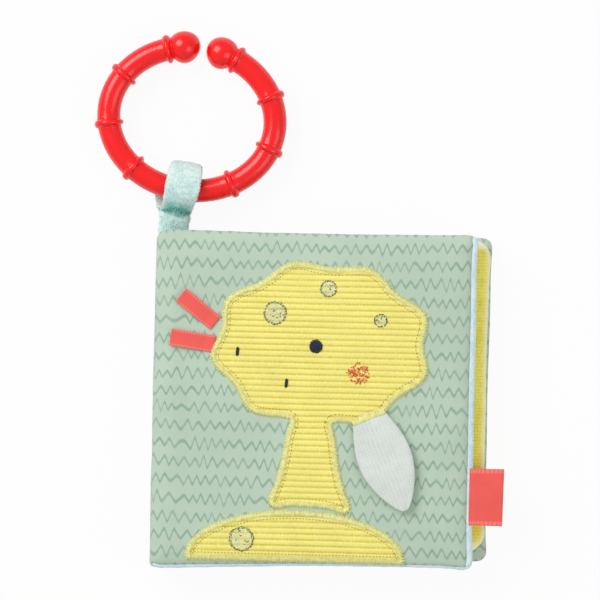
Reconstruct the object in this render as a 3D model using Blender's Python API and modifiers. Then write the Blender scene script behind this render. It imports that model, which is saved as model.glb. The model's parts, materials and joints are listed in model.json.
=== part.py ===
"""A closed cloth book: three padded leaves on a soft spine, with a velour strap and a clip ring.

The book lies on its back cover. The origin is the middle of that cover's flat underside, +X runs
from the spine to the open edge, +Y to the edge that carries the strap, and +Z up through the leaves.
"""

import bisect
import math

import bmesh
import bpy
from mathutils import Matrix, Vector
from mathutils.geometry import interpolate_bezier

MM = 0.001

# Clearances: between pieces that touch on the real book, and round a nose that turns beside its seat
SEAT_GAP = 0.3 * MM
TURN_GAP = 0.4 * MM

# Points closer than this are one point
WELD = 0.005 * MM

# Leaves: all three have the same thickness and the same rolled, drawn-in edge
LEAF_HEIGHT = 121.0 * MM
BACK_WIDTH = 118.0 * MM
FRONT_WIDTH = 114.0 * MM
PAGE_HEIGHT = 114.0 * MM
PAGE_CREEP = 2.0 * MM
PAGE_RAISE = 1.0 * MM
LEAF_THICKNESS = 6.6 * MM
EDGE_ROLL = 12.0 * MM
SEAM_LIP = 0.7 * MM
CLOTH = 0.6 * MM
COVER_CORNER = 3.0 * MM
PAGE_CORNER = 8.0 * MM
WADDING_DRAW = 0.3 * MM
CRINKLE_FILM = 0.3 * MM
EDGE_RINGS = 4
WADDING_RINGS = 3
FLAT_CELLS = 3

# Spine: a padded roll between the two cover folds, and the tape that the page hangs on
FOLD_INSET = 2.6 * MM
SPINE_DEPTH = 4.1 * MM
SPINE_ROLL = 1.5 * MM
FOLD_CLEAR = 3.1 * MM
SPINE_CLOTH = 0.7 * MM
PAGE_SET_BACK = 6.0 * MM
TAPE_PAST_FOLD = 0.8 * MM
TAPE_THICKNESS = 0.7 * MM
TAPE_LENGTH = 106.0 * MM
ROLL_STEPS = 5

# Corduroy tree on the front cover, placed from the cover's middle line and from its top edge
PATCH_THICKNESS = 1.2 * MM
CROWN_X = 3.0 * MM
CROWN_FROM_TOP = 39.5 * MM
CROWN_HALF_WIDTH = 37.0 * MM
CROWN_HALF_HEIGHT = 28.0 * MM
CROWN_LOBES = 8
LOBE_SHARE = 0.05
TRUNK_X = 0.0 * MM
TRUNK_HALF_WIDTH = 7.5 * MM
TRUNK_FLARE = 6.0 * MM
TRUNK_SPANS = 4
EDGING_RADIUS = 0.6 * MM
OUTLINE_STEPS = 3

# Corduroy mound under the tree
HILL_X = -5.0 * MM
HILL_HALF_WIDTH = 38.0 * MM
HILL_FROM_BOTTOM = 5.5 * MM
HILL_HEIGHT = 16.0 * MM
HILL_SPANS = 12
BASE_SHARES = (-0.95, -0.5, 0.0, 0.5, 0.95)
FOOT_STEP = 3.8 * MM

# Embroidery: rings, one dot and short stitches, places as shares of the cover's half sizes
THREAD_RADIUS = 0.4 * MM
RING_RADII = (3.9 * MM, 2.8 * MM, 2.2 * MM, 4.2 * MM, 3.5 * MM)
RING_PLACE_SHARES = ((-0.24, 0.53), (0.09, 0.68), (0.42, 0.5), (-0.42, -0.8), (0.29, 0.18))
DOT_RADIUS = 2.3 * MM
DOT_PLACE_SHARES = (0.02, 0.34)
STITCH_LENGTH = 3.4 * MM
STITCH_PLACE_SHARES = ((-0.47, 0.3), (-0.16, 0.12))
CIRCLE_STEPS = 16

# Loose leaf flap, sewn on over the lower edge of the tree's crown
FLAP_ANGLE = math.radians(-62.0)
FLAP_LENGTH = 36.0 * MM
FLAP_ROOT_HALF = 5.9 * MM
FLAP_SWELL = 4.6 * MM
FLAP_THICKNESS = 0.8 * MM
FLAP_HEADING = math.radians(-67.0)
FLAP_SWELL_SHARE = 1.1
FLAP_TIP_POWER = 2.6
FLAP_POINTS = 14

# Ribbon tags out of the crown's left side, and the label in the open edge
RIBBON_WIDTH = 6.0 * MM
RIBBON_LENGTH = 12.5 * MM
RIBBON_THICKNESS = 0.8 * MM
RIBBON_ANGLES = (math.radians(164.0), math.radians(180.0))
RIBBON_HEADINGS = (math.radians(142.0), math.radians(172.0))
LABEL_LENGTH = 20.0 * MM
LABEL_REACH = 10.5 * MM
LABEL_THICKNESS = 1.2 * MM
LABEL_FROM_BOTTOM = 29.0 * MM

# Clip ring: an open oval tube with ribs and a ball at each end
RING_HALF_WIDTH = 30.0 * MM
RING_HALF_DEPTH = 25.6 * MM
TUBE_RADIUS = 4.15 * MM
RIB_RADIUS = 5.25 * MM
RIB_HALF_WIDTH = 1.2 * MM
NECK_RADIUS = 3.7 * MM
NECK_REACH = 5.7 * MM
BALL_RADIUS = 5.8 * MM
BALL_TIP_RADIUS = 0.9 * MM
BALL_GAP = 2.2 * MM
RIBS_PER_SIDE = 4
RIB_ANGLE_SHARES = (-1.0, -0.6, 0.0, 0.6, 1.0)
PLAIN_STEPS = 5
BALL_STEPS = 7
ARC_SAMPLES = 1440

# Strap: a short stem out of the back cover's top seam and an eye round the ring
STRAP_FROM_SPINE = 4.7 * MM
STRAP_LEAN = math.radians(8.0)
STRAP_REACH = 15.0 * MM
STRAP_THICKNESS = 3.0 * MM
STEM_WIDTH = 10.4 * MM
EYE_WIDTH = 13.0 * MM
EYE_WALL = 1.3 * MM
EYE_FAR_WALL = 2.5 * MM
EYE_NEAR_WALL = 1.1 * MM
EYE_TAIL_DROP = 1.6 * MM
EYE_SHOULDER_SHARE = 0.6
EYE_POINTS = 40
BARTACK_WIDTH = 1.4 * MM
BARTACK_THICKNESS = 0.6 * MM
BARTACK_MARGIN = 1.0 * MM
NOSE_STEPS = 6

# Places that follow from the sizes
HALF_LEAF = LEAF_THICKNESS / 2
LEAF_PITCH = LEAF_THICKNESS + SEAT_GAP
BACK_Z = HALF_LEAF
PAGE_Z = BACK_Z + LEAF_PITCH
FRONT_Z = PAGE_Z + LEAF_PITCH
SPINE_EDGE_X = -BACK_WIDTH / 2
STRAP_X = SPINE_EDGE_X + STRAP_FROM_SPINE
FOLD_X = SPINE_EDGE_X + FOLD_INSET
PAGE_FOLD_X = FOLD_X + PAGE_SET_BACK
FRONT_EDGE_X = SPINE_EDGE_X + FRONT_WIDTH
PAGE_EDGE_X = FRONT_EDGE_X + PAGE_CREEP
PAGE_START_X = PAGE_FOLD_X + TAPE_PAST_FOLD + TURN_GAP
PAGE_WIDTH = PAGE_EDGE_X - PAGE_START_X
FRONT_X = (SPINE_EDGE_X + FRONT_EDGE_X) / 2
PAGE_X = (PAGE_START_X + PAGE_EDGE_X) / 2
FRONT_TOP_Z = FRONT_Z + HALF_LEAF
PATCH_Z = FRONT_TOP_Z + SEAT_GAP + PATCH_THICKNESS / 2
PATCH_TOP_Z = PATCH_Z + PATCH_THICKNESS / 2
THREAD_Z = PATCH_TOP_Z + SEAT_GAP + THREAD_RADIUS
CROWN_Y = LEAF_HEIGHT / 2 - CROWN_FROM_TOP
HILL_BASE_Y = HILL_FROM_BOTTOM - LEAF_HEIGHT / 2
LABEL_Y = LABEL_FROM_BOTTOM - LEAF_HEIGHT / 2

COLOURS = {
    "sage_cotton": (0.45, 0.57, 0.46),
    "blue_velour": (0.42, 0.68, 0.80),
    "yellow_velour": (0.93, 0.80, 0.30),
    "cream_cloth": (0.90, 0.87, 0.76),
    "white_wadding": (0.94, 0.94, 0.92),
    "clear_film": (0.86, 0.88, 0.90),
    "yellow_corduroy": (0.95, 0.76, 0.16),
    "pale_yellow_thread": (0.96, 0.87, 0.42),
    "sage_thread": (0.42, 0.55, 0.48),
    "coral_thread": (0.93, 0.30, 0.16),
    "navy_thread": (0.06, 0.09, 0.20),
    "pale_green_cloth": (0.66, 0.74, 0.68),
    "coral_ribbon": (0.95, 0.24, 0.22),
    "mint_velour": (0.35, 0.62, 0.62),
    "mint_thread": (0.24, 0.47, 0.48),
    "red_plastic": (0.85, 0.03, 0.03),
}
GLOSSY = {"red_plastic": 0.18, "clear_film": 0.25}
CLOTH_ROUGHNESS = 0.9


class Stage:
    """The collection, materials and joints that the pieces are added to."""

    def __init__(self, name):
        for old in list(bpy.data.objects):
            bpy.data.objects.remove(old, do_unlink=True)
        self.collection = bpy.data.collections.new(name)
        bpy.context.scene.collection.children.link(self.collection)
        self.joints = {}
        self.materials = {}

    def material(self, colour_name):
        """One Principled BSDF material for each colour name."""
        if colour_name not in self.materials:
            material = bpy.data.materials.new(colour_name)
            material.use_nodes = True
            shader = material.node_tree.nodes["Principled BSDF"]
            shader.inputs["Base Color"].default_value = (*COLOURS[colour_name], 1.0)
            shader.inputs["Roughness"].default_value = GLOSSY.get(colour_name, CLOTH_ROUGHNESS)
            shader.inputs["Metallic"].default_value = 0.0
            self.materials[colour_name] = material
        return self.materials[colour_name]

    def joint(self, name, frame, parent=None):
        """An empty on a joint's axis, under the joint that carries it."""
        empty = bpy.data.objects.new(name, None)
        empty.empty_display_size = LEAF_THICKNESS
        self.collection.objects.link(empty)
        self.place(empty, frame, parent)
        self.joints[name] = empty
        return empty

    def place(self, item, frame, parent=None):
        """Stands an object at a world frame, under a joint if it moves with one."""
        if parent is not None:
            item.parent = self.joints[parent]
            bpy.context.view_layer.update()
        item.matrix_world = frame

    def add(self, name, data, colour_name, frame=None, parent=None):
        """Links a mesh or curve as a named piece."""
        item = bpy.data.objects.new(name, data)
        data.materials.append(self.material(colour_name))
        self.collection.objects.link(item)
        self.place(item, frame or Matrix(), parent)
        return item


def axes_frame(place, along, up):
    """A frame at a place with its X along a direction and its Y along another at right angles."""
    across = along.cross(up)
    turned = Matrix((along, up, across)).transposed().to_4x4()
    return Matrix.Translation(place) @ turned


def section_frame(y):
    """Stands a flat outline upright: its X stays X, its Y becomes world Z."""
    return axes_frame(Vector((0, y, 0)), Vector((1, 0, 0)), Vector((0, 0, 1)))


def heading_vector(angle):
    return Vector((math.cos(angle), math.sin(angle), 0))


def flat_piece(name, outlines, thickness):
    """Closed outlines in X and Y, filled and extruded evenly to both sides."""
    curve = bpy.data.curves.new(name, "CURVE")
    curve.dimensions = "2D"
    curve.fill_mode = "BOTH"
    curve.extrude = thickness / 2
    for outline in outlines:
        spline = curve.splines.new("POLY")
        spline.points.add(len(outline) - 1)
        for point, (x, y) in zip(spline.points, outline):
            point.co = (x, y, 0, 1)
        spline.use_cyclic_u = True
    return curve


def tube_piece(name, points, radius, resolution, closed=False, radii=None):
    """A round tube along points, with a radius of its own at each point if radii are given."""
    curve = bpy.data.curves.new(name, "CURVE")
    curve.dimensions = "3D"
    curve.bevel_depth = radius
    curve.bevel_resolution = resolution
    curve.use_fill_caps = not closed
    spline = curve.splines.new("POLY")
    spline.points.add(len(points) - 1)
    for index, place in enumerate(points):
        spline.points[index].co = (*place, 1)
        spline.points[index].radius = radii[index] / radius if radii else 1.0
    spline.use_cyclic_u = closed
    return curve


def box_mesh(name, low, high):
    """A cube primitive stretched between two corners."""
    bm = bmesh.new()
    bmesh.ops.create_cube(bm, size=1.0)
    for vert in bm.verts:
        for axis in range(3):
            vert.co[axis] = high[axis] if vert.co[axis] > 0 else low[axis]
    mesh = bpy.data.meshes.new(name)
    bm.to_mesh(mesh)
    bm.free()
    return mesh


def arc(centre, radius, start, end, steps):
    """Points on an arc, both ends included."""
    angles = [start + (end - start) * step / steps for step in range(steps + 1)]
    return [(centre[0] + radius * math.cos(a), centre[1] + radius * math.sin(a)) for a in angles]


def capsule(length, thickness):
    """A strap's long section: a nose round the origin, straight sides and a round far end."""
    radius = thickness / 2
    quarter = math.pi / 2
    nose = arc((0, 0), radius, quarter, 3 * quarter, NOSE_STEPS)
    return nose + arc((length - radius, 0), radius, -quarter, quarter, NOSE_STEPS)


def edge_lines(length, roll, rings):
    """Grid lines across a leaf: the rings of the rolled edge, even steps on the flat, rings again."""
    insets = [roll * (1 - math.cos(math.pi / 2 * ring / rings)) for ring in range(rings + 1)]
    flat = length - 2 * roll
    middle = [roll + flat * cell / FLAT_CELLS for cell in range(1, FLAT_CELLS)]
    lines = insets + middle + [length - inset for inset in reversed(insets)]
    return [line - length / 2 for line in lines]


def crown_grid(width, height, corner, roll, rings, crown):
    """A grid bent to a pillow's upper side: flat in the middle, its edge rolled down to Z = 0."""
    lines_x = edge_lines(width, roll, rings)
    lines_y = edge_lines(height, roll, rings)
    cells = len(lines_x) - 1
    bm = bmesh.new()
    bmesh.ops.create_grid(bm, x_segments=cells, y_segments=cells, size=1.0)
    for vert in bm.verts:
        column = round((vert.co.x + 1) / 2 * cells)
        row = round((vert.co.y + 1) / 2 * cells)
        ring = min(column, row, cells - column, cells - row, rings)
        x, y = rounded_place(lines_x[column], lines_y[row], width, height, corner, lines_x[ring])
        rise = crown * math.sin(math.pi / 2 * ring / rings)
        vert.co = (x, y, rise)
    return bm


def rounded_place(x, y, width, height, corner, ring_line):
    """Moves a corner's grid point onto the arc of its ring."""
    inset = ring_line + width / 2
    over_x = abs(x) - (width / 2 - corner)
    over_y = abs(y) - (height / 2 - corner)
    radius = corner - inset
    if over_x <= 0 or over_y <= 0 or radius <= 0:
        return x, y
    stretch = radius / math.hypot(over_x, over_y)
    side_x = math.copysign(width / 2 - corner + over_x * stretch, x)
    side_y = math.copysign(height / 2 - corner + over_y * stretch, y)
    return side_x, side_y


def cloth_half(name, width, height, corner, side):
    """One cloth of a leaf, as a shell: side 1 is the upper cloth and side -1 the lower one.

    Its rim lies half a seat gap from the leaf's middle plane and its flat face half a leaf away.
    """
    rim = SEAT_GAP / 2
    lip_top = rim + SEAM_LIP
    bm = crown_grid(width, height, corner, EDGE_ROLL, EDGE_RINGS, HALF_LEAF - lip_top)
    for vert in bm.verts:
        vert.co.z += lip_top
    boundary = [edge for edge in bm.edges if edge.is_boundary]
    grown = bmesh.ops.extrude_edge_only(bm, edges=boundary)
    for item in grown["geom"]:
        if isinstance(item, bmesh.types.BMVert):
            item.co.z = rim
    bmesh.ops.recalc_face_normals(bm, faces=bm.faces)
    middle = max(bm.faces, key=lambda face: face.calc_center_median().z)
    if middle.normal.z < 0:
        bmesh.ops.reverse_faces(bm, faces=bm.faces)
    if side < 0:
        bmesh.ops.scale(bm, vec=(1, 1, -1), verts=bm.verts)
        bmesh.ops.reverse_faces(bm, faces=bm.faces)
    mesh = bpy.data.meshes.new(name)
    bm.to_mesh(mesh)
    bm.free()
    mesh.shade_smooth()
    return mesh


def add_cloth(stage, name, mesh, colour_name, frame, parent):
    """Adds a cloth shell and gives it its thickness inward."""
    item = stage.add(name, mesh, colour_name, frame, parent)
    shell = item.modifiers.new("cloth thickness", "SOLIDIFY")
    shell.thickness = CLOTH
    shell.offset = -1.0
    shell.use_even_offset = True
    return item


def wadding_mesh(name, width, height, corner, upper, lower):
    """A closed pillow with an upper and a lower crown that meet at its outline."""
    draw = 2 * (CLOTH + SEAT_GAP + WADDING_DRAW)
    rounding = max(corner - draw / 2, CLOTH)
    bm = crown_grid(width - draw, height - draw, rounding, EDGE_ROLL, WADDING_RINGS, upper)
    twin = bmesh.ops.duplicate(bm, geom=list(bm.verts) + list(bm.edges) + list(bm.faces))["geom"]
    lower_verts = [item for item in twin if isinstance(item, bmesh.types.BMVert)]
    lower_faces = [item for item in twin if isinstance(item, bmesh.types.BMFace)]
    bmesh.ops.scale(bm, vec=(1, 1, -lower / upper), verts=lower_verts)
    bmesh.ops.reverse_faces(bm, faces=lower_faces)
    outline = [vert for vert in bm.verts if vert.is_boundary]
    bmesh.ops.remove_doubles(bm, verts=outline, dist=WELD)
    mesh = bpy.data.meshes.new(name)
    bm.to_mesh(mesh)
    bm.free()
    return mesh


def build_leaf(stage, names, colours, size, centre, parent=None, film=False):
    """Upper cloth, lower cloth and wadding of one leaf, with a crinkle film under the wadding."""
    width, height, corner = size
    frame = Matrix.Translation(centre)
    for name, colour_name, side in zip(names, colours, (1, -1)):
        mesh = cloth_half(name, width, height, corner, side)
        add_cloth(stage, name, mesh, colour_name, frame, parent)
    inner = HALF_LEAF - CLOTH - SEAT_GAP
    lower = inner - CRINKLE_FILM - SEAT_GAP if film else inner
    mesh = wadding_mesh(names[2], width, height, corner, inner, lower)
    stage.add(names[2], mesh, "white_wadding", frame, parent)
    if film:
        reach_x = width / 2 - EDGE_ROLL
        reach_y = height / 2 - EDGE_ROLL
        mesh = box_mesh("crinkle_film", (-reach_x, -reach_y, -inner),
                        (reach_x, reach_y, CRINKLE_FILM - inner))
        stage.add("crinkle_film", mesh, "clear_film", frame, parent)


def build_leaves(stage):
    """Back cover, middle page and front cover."""
    build_leaf(stage, ("back_cover_lining", "back_cover_cloth", "back_cover_wadding"),
               ("cream_cloth", "sage_cotton"), (BACK_WIDTH, LEAF_HEIGHT, COVER_CORNER),
               Vector((0, 0, BACK_Z)))
    build_leaf(stage, ("page_front_cloth", "page_back_cloth", "page_wadding"),
               ("yellow_velour", "yellow_velour"), (PAGE_WIDTH, PAGE_HEIGHT, PAGE_CORNER),
               Vector((PAGE_X, PAGE_RAISE, PAGE_Z)), "page_turn")
    build_leaf(stage, ("front_cover_cloth", "front_cover_lining", "front_cover_wadding"),
               ("sage_cotton", "blue_velour"), (FRONT_WIDTH, LEAF_HEIGHT, COVER_CORNER),
               Vector((FRONT_X, 0, FRONT_Z)), "front_cover_fold", film=True)


def build_spine(stage):
    """The spine's cloth channel, its wadding, the lining that closes it and the page's tape."""
    left = SPINE_EDGE_X
    right = left + SPINE_DEPTH
    low = BACK_Z + FOLD_CLEAR
    high = FRONT_Z - FOLD_CLEAR
    half_turn = math.pi
    quarter = math.pi / 2
    lining_left = right - SPINE_CLOTH
    channel_right = lining_left - SEAT_GAP
    outer = (arc((left + SPINE_ROLL, low + SPINE_ROLL), SPINE_ROLL, -quarter, -half_turn, ROLL_STEPS)
             + arc((left + SPINE_ROLL, high - SPINE_ROLL), SPINE_ROLL, half_turn, quarter, ROLL_STEPS))
    inner_roll = SPINE_ROLL - SPINE_CLOTH
    inner = (arc((left + SPINE_ROLL, high - SPINE_ROLL), inner_roll, quarter, half_turn, ROLL_STEPS)
             + arc((left + SPINE_ROLL, low + SPINE_ROLL), inner_roll, -half_turn, -quarter, ROLL_STEPS))
    channel = ([(channel_right, low)] + outer + [(channel_right, high)]
               + [(channel_right, high - SPINE_CLOTH)] + inner + [(channel_right, low + SPINE_CLOTH)])
    stage.add("spine_cloth", flat_piece("spine_cloth", [channel], LEAF_HEIGHT), "sage_cotton",
              section_frame(0), "spine_fold")
    half_length = LEAF_HEIGHT / 2
    margin = SPINE_CLOTH + SEAT_GAP
    wadding = box_mesh("spine_wadding", (left + margin, -half_length, low + margin),
                       (channel_right, half_length, high - margin))
    stage.add("spine_wadding", wadding, "white_wadding", None, "spine_fold")
    lining = box_mesh("spine_lining", (lining_left, -half_length, low), (right, half_length, high))
    stage.add("spine_lining", lining, "cream_cloth", None, "spine_fold")
    half_tape = TAPE_LENGTH / 2
    tape = box_mesh("page_hinge_tape",
                    (right + SEAT_GAP, PAGE_RAISE - half_tape, PAGE_Z - TAPE_THICKNESS / 2),
                    (PAGE_FOLD_X + TAPE_PAST_FOLD, PAGE_RAISE + half_tape, PAGE_Z + TAPE_THICKNESS / 2))
    stage.add("page_hinge_tape", tape, "cream_cloth", None, "spine_fold")


def smooth_outline(corners):
    """A closed smooth curve through its corners, each span bent towards its neighbours."""
    outline = []
    count = len(corners)
    for index, here in enumerate(corners):
        before = corners[index - 1]
        after = corners[(index + 1) % count]
        beyond = corners[(index + 2) % count]
        leaving = here + (after - before) / 6
        arriving = after - (beyond - here) / 6
        outline += interpolate_bezier(here, leaving, arriving, after, OUTLINE_STEPS + 1)[:-1]
    return outline


def grown(outline, distance):
    """A counter-clockwise outline moved outward."""
    count = len(outline)
    points = []
    for index, here in enumerate(outline):
        run = outline[(index + 1) % count] - outline[index - 1]
        points.append(here + Vector((run.y, -run.x, 0)).normalized() * distance)
    return points


def crown_point(angle, size_share):
    """A point on the crown's oval, larger or smaller by a share."""
    return Vector((CROWN_X + CROWN_HALF_WIDTH * size_share * math.cos(angle),
                   CROWN_Y + CROWN_HALF_HEIGHT * size_share * math.sin(angle), 0))


def trunk_angle(side):
    """Where a side of the trunk meets the crown's oval, below its middle."""
    return -math.acos((TRUNK_X + side * TRUNK_HALF_WIDTH - CROWN_X) / CROWN_HALF_WIDTH)


def hill_rise(x):
    return HILL_HEIGHT * math.sqrt(1 - ((x - HILL_X) / HILL_HALF_WIDTH) ** 2)


def foot_point(x):
    return Vector((x, HILL_BASE_Y + hill_rise(x) + FOOT_STEP, 0))


def trunk_side(side, top):
    """A side of the trunk from under the crown to its foot, flaring out on the way."""
    points = []
    foot = foot_point(TRUNK_X + side * (TRUNK_HALF_WIDTH + TRUNK_FLARE))
    for span in range(1, TRUNK_SPANS + 1):
        share = span / TRUNK_SPANS
        x = TRUNK_X + side * (TRUNK_HALF_WIDTH + TRUNK_FLARE * share ** 2)
        points.append(Vector((x, top.y + (foot.y - top.y) * share, 0)))
    return points


def tree_outline():
    """Crown with its lobes, then down the trunk, along the mound and up again."""
    first = trunk_angle(1)
    last = trunk_angle(-1) + 2 * math.pi
    spans = 2 * CROWN_LOBES
    corners = []
    for span in range(spans + 1):
        size_share = 1 + LOBE_SHARE if span % 2 else 1 - LOBE_SHARE
        corners.append(crown_point(first + (last - first) * span / spans, size_share))
    left = trunk_side(-1, corners[-1])
    right = trunk_side(1, corners[0])
    foot_run = right[-1].x - left[-1].x
    foot = [foot_point(left[-1].x + foot_run * step / TRUNK_SPANS) for step in range(1, TRUNK_SPANS)]
    return smooth_outline(corners + left + foot + right[::-1])


def hill_outline():
    """The mound's arched top and straight base."""
    corners = []
    for span in range(HILL_SPANS + 1):
        angle = math.pi * span / HILL_SPANS
        corners.append(Vector((HILL_X + HILL_HALF_WIDTH * math.cos(angle),
                               HILL_BASE_Y + HILL_HEIGHT * math.sin(angle), 0)))
    base = [Vector((HILL_X + HILL_HALF_WIDTH * share, HILL_BASE_Y, 0)) for share in BASE_SHARES]
    return smooth_outline(corners + base)


def cover_frame(z, x_share=0.0, y_share=0.0):
    """A frame over the front cover at a share of its half width and half height."""
    x = FRONT_X + x_share * FRONT_WIDTH / 2
    return Matrix.Translation((x, y_share * LEAF_HEIGHT / 2, z))


def add_patch(stage, name, outline):
    """A corduroy patch and the stitched edging round it."""
    flat = [(point.x, point.y) for point in outline]
    patch = flat_piece(name, [flat], PATCH_THICKNESS)
    stage.add(name, patch, "yellow_corduroy", cover_frame(PATCH_Z), "front_cover_fold")
    edging_name = f"{name}_edging"
    edge = grown(outline, SEAT_GAP + EDGING_RADIUS)
    edging = tube_piece(edging_name, edge, EDGING_RADIUS, 1, closed=True)
    stage.add(edging_name, edging, "pale_yellow_thread", cover_frame(PATCH_Z), "front_cover_fold")


def build_embroidery(stage):
    """Sewn rings, one dot and short stitches on the corduroy."""
    cover = "front_cover_fold"
    circle = [(x, y, 0) for x, y in arc((0, 0), 1, 0, 2 * math.pi, CIRCLE_STEPS)[:-1]]
    for number, (radius, shares) in enumerate(zip(RING_RADII, RING_PLACE_SHARES), 1):
        name = f"embroidered_ring_{number}"
        colour_name = "coral_thread" if number == len(RING_RADII) else "sage_thread"
        points = [Vector(point) * radius for point in circle]
        ring = tube_piece(name, points, THREAD_RADIUS, 1, closed=True)
        stage.add(name, ring, colour_name, cover_frame(THREAD_Z, *shares), cover)
    disc = arc((0, 0), DOT_RADIUS, 0, 2 * math.pi, CIRCLE_STEPS)[:-1]
    dot = flat_piece("embroidered_dot", [disc], 2 * THREAD_RADIUS)
    stage.add("embroidered_dot", dot, "navy_thread", cover_frame(THREAD_Z, *DOT_PLACE_SHARES), cover)
    reach = Vector((0, STITCH_LENGTH / 2, 0))
    for number, shares in enumerate(STITCH_PLACE_SHARES, 1):
        name = f"embroidered_stitch_{number}"
        stitch = tube_piece(name, [-reach, reach], THREAD_RADIUS, 1)
        stage.add(name, stitch, "navy_thread", cover_frame(THREAD_Z, *shares), cover)


def flap_outline():
    """The leaf flap from its sewn root to its tip, both sides."""
    side = []
    for step in range(FLAP_POINTS + 1):
        share = math.sin(math.pi / 2 * step / FLAP_POINTS)
        half = FLAP_ROOT_HALF + FLAP_SWELL * math.sin(math.pi * share / FLAP_SWELL_SHARE)
        side.append((FLAP_LENGTH * share, half * math.sqrt(1 - share ** FLAP_TIP_POWER)))
    return side + [(x, -y) for x, y in reversed(side[:-1])]


def flap_root():
    """The flap is sewn on over the crown's edge."""
    root = crown_point(FLAP_ANGLE, 1.0) + Vector((FRONT_X, 0, 0))
    root.z = PATCH_TOP_Z + SEAT_GAP + FLAP_THICKNESS / 2
    return root


def build_flap(stage):
    root = flap_root()
    turned = Matrix.Translation(root) @ Matrix.Rotation(FLAP_HEADING, 4, "Z")
    stage.joint("leaf_flap_lift", turned, "front_cover_fold")
    flap = flat_piece("leaf_flap", [flap_outline()], FLAP_THICKNESS)
    stage.add("leaf_flap", flap, "pale_green_cloth", turned, "leaf_flap_lift")


def add_strap(stage, name, joint_name, root, heading, size, colour_name, parent=None, rise=0.0):
    """A flat strap from its joint's axis outward, with a joint empty on the axis."""
    length, thickness, width = size
    level = heading_vector(heading)
    along = (level * math.cos(rise) + Vector((0, 0, math.sin(rise)))).normalized()
    across = level.cross(Vector((0, 0, 1)))
    frame = axes_frame(root, along, across.cross(along))
    stage.joint(joint_name, frame, parent)
    strap = flat_piece(name, [capsule(length, thickness)], width)
    return stage.add(name, strap, colour_name, frame, joint_name)


def ribbon_root(angle, heading):
    """A ribbon comes out from under the stitched edging, half its thickness above the cover."""
    out = 2 * (SEAT_GAP + EDGING_RADIUS) + RIBBON_THICKNESS / 2
    out += RIBBON_WIDTH / 2 * abs(math.sin(heading - angle))
    edge = crown_point(angle, 1 + LOBE_SHARE) + Vector((FRONT_X, 0, 0))
    root = edge + heading_vector(angle) * out
    root.z = FRONT_TOP_Z + SEAT_GAP + RIBBON_THICKNESS / 2
    return root


def build_tags(stage):
    """Two ribbon tags on the front cover and the folded label in its open edge."""
    names = ("ribbon_tag_upper", "ribbon_tag_lower")
    for name, angle, heading in zip(names, RIBBON_ANGLES, RIBBON_HEADINGS):
        add_strap(stage, name, f"{name}_lift", ribbon_root(angle, heading), heading,
                  (RIBBON_LENGTH, RIBBON_THICKNESS, RIBBON_WIDTH), "coral_ribbon", "front_cover_fold")
    root = Vector((FRONT_EDGE_X + SEAT_GAP + LABEL_THICKNESS / 2, LABEL_Y, FRONT_Z))
    add_strap(stage, "label_tag", "label_tag_bend", root, 0.0,
              (LABEL_REACH, LABEL_THICKNESS, LABEL_LENGTH), "coral_ribbon", "front_cover_fold")


def bore_shift():
    """How far the ring's curve bows within half the eye's width, halved: the bore's side step."""
    curve_radius = RING_HALF_WIDTH ** 2 / RING_HALF_DEPTH
    return (EYE_WIDTH / 2) ** 2 / (4 * curve_radius)


def bore_radius():
    return RIB_RADIUS + bore_shift() + SEAT_GAP


def eye_length():
    """From the bend's axis at the stitch line to the middle of the ring's tube."""
    return bore_radius() + EYE_NEAR_WALL + TURN_GAP + STRAP_THICKNESS / 2


def strap_places():
    """The stem's root axis, the bend's axis and the ring's seat, along the strap's lean."""
    lean = heading_vector(math.pi / 2 - STRAP_LEAN)
    edge = Vector((STRAP_X, LEAF_HEIGHT / 2, 0))
    root_out = SEAT_GAP + STRAP_THICKNESS / 2 + STEM_WIDTH / 2 * math.sin(STRAP_LEAN)
    seat_z = EYE_WALL + bore_radius()
    seat = edge + lean * STRAP_REACH + Vector((0, 0, seat_z))
    bend = edge + lean * (STRAP_REACH - eye_length()) + Vector((0, 0, seat_z - EYE_TAIL_DROP))
    root = edge + lean * root_out + Vector((0, 0, BACK_Z))
    return root, bend, seat


def eye_outlines():
    """The eye's side view, seat at the origin: an oval with a tail towards the stem, and its bore."""
    bore = bore_radius()
    half_z = bore + EYE_WALL
    half_y = bore + EYE_FAR_WALL
    tail = -(bore + EYE_NEAR_WALL)
    shoulder = math.acos(-EYE_SHOULDER_SHARE)
    angles = [shoulder * (1 - 2 * step / EYE_POINTS) for step in range(EYE_POINTS + 1)]
    oval = [(half_y * math.cos(a), half_z * math.sin(a)) for a in angles]
    half_strap = STRAP_THICKNESS / 2
    outer = oval + [(tail, -EYE_TAIL_DROP - half_strap), (tail, -EYE_TAIL_DROP + half_strap)]
    return [outer, arc((bore_shift(), 0), bore, 0, 2 * math.pi, EYE_POINTS)[:-1]]


def build_strap(stage):
    """The stem, the stitches across it and the eye round the ring."""
    root, bend, seat = strap_places()
    heading = math.pi / 2 - STRAP_LEAN
    run = bend - root
    rise = math.atan2(run.z, math.hypot(run.x, run.y))
    length = run.length + STRAP_THICKNESS / 2
    add_strap(stage, "loop_stem", "loop_bend", root, heading,
              (length, STRAP_THICKNESS, STEM_WIDTH), "mint_velour", None, rise)
    stem_frame = stage.joints["loop_bend"].matrix_world.copy()
    low = (length - BARTACK_MARGIN - BARTACK_WIDTH, STRAP_THICKNESS / 2 + SEAT_GAP, -STEM_WIDTH / 2)
    high = (length - BARTACK_MARGIN, low[1] + BARTACK_THICKNESS, STEM_WIDTH / 2)
    stage.add("loop_bartack", box_mesh("loop_bartack", low, high), "mint_thread", stem_frame, "loop_bend")
    lean = heading_vector(heading)
    stage.joint("loop_eye_bend", axes_frame(bend, lean, Vector((0, 0, 1))), "loop_bend")
    eye = flat_piece("loop_eye", eye_outlines(), EYE_WIDTH)
    stage.add("loop_eye", eye, "mint_velour", axes_frame(seat, lean, Vector((0, 0, 1))), "loop_eye_bend")


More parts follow.
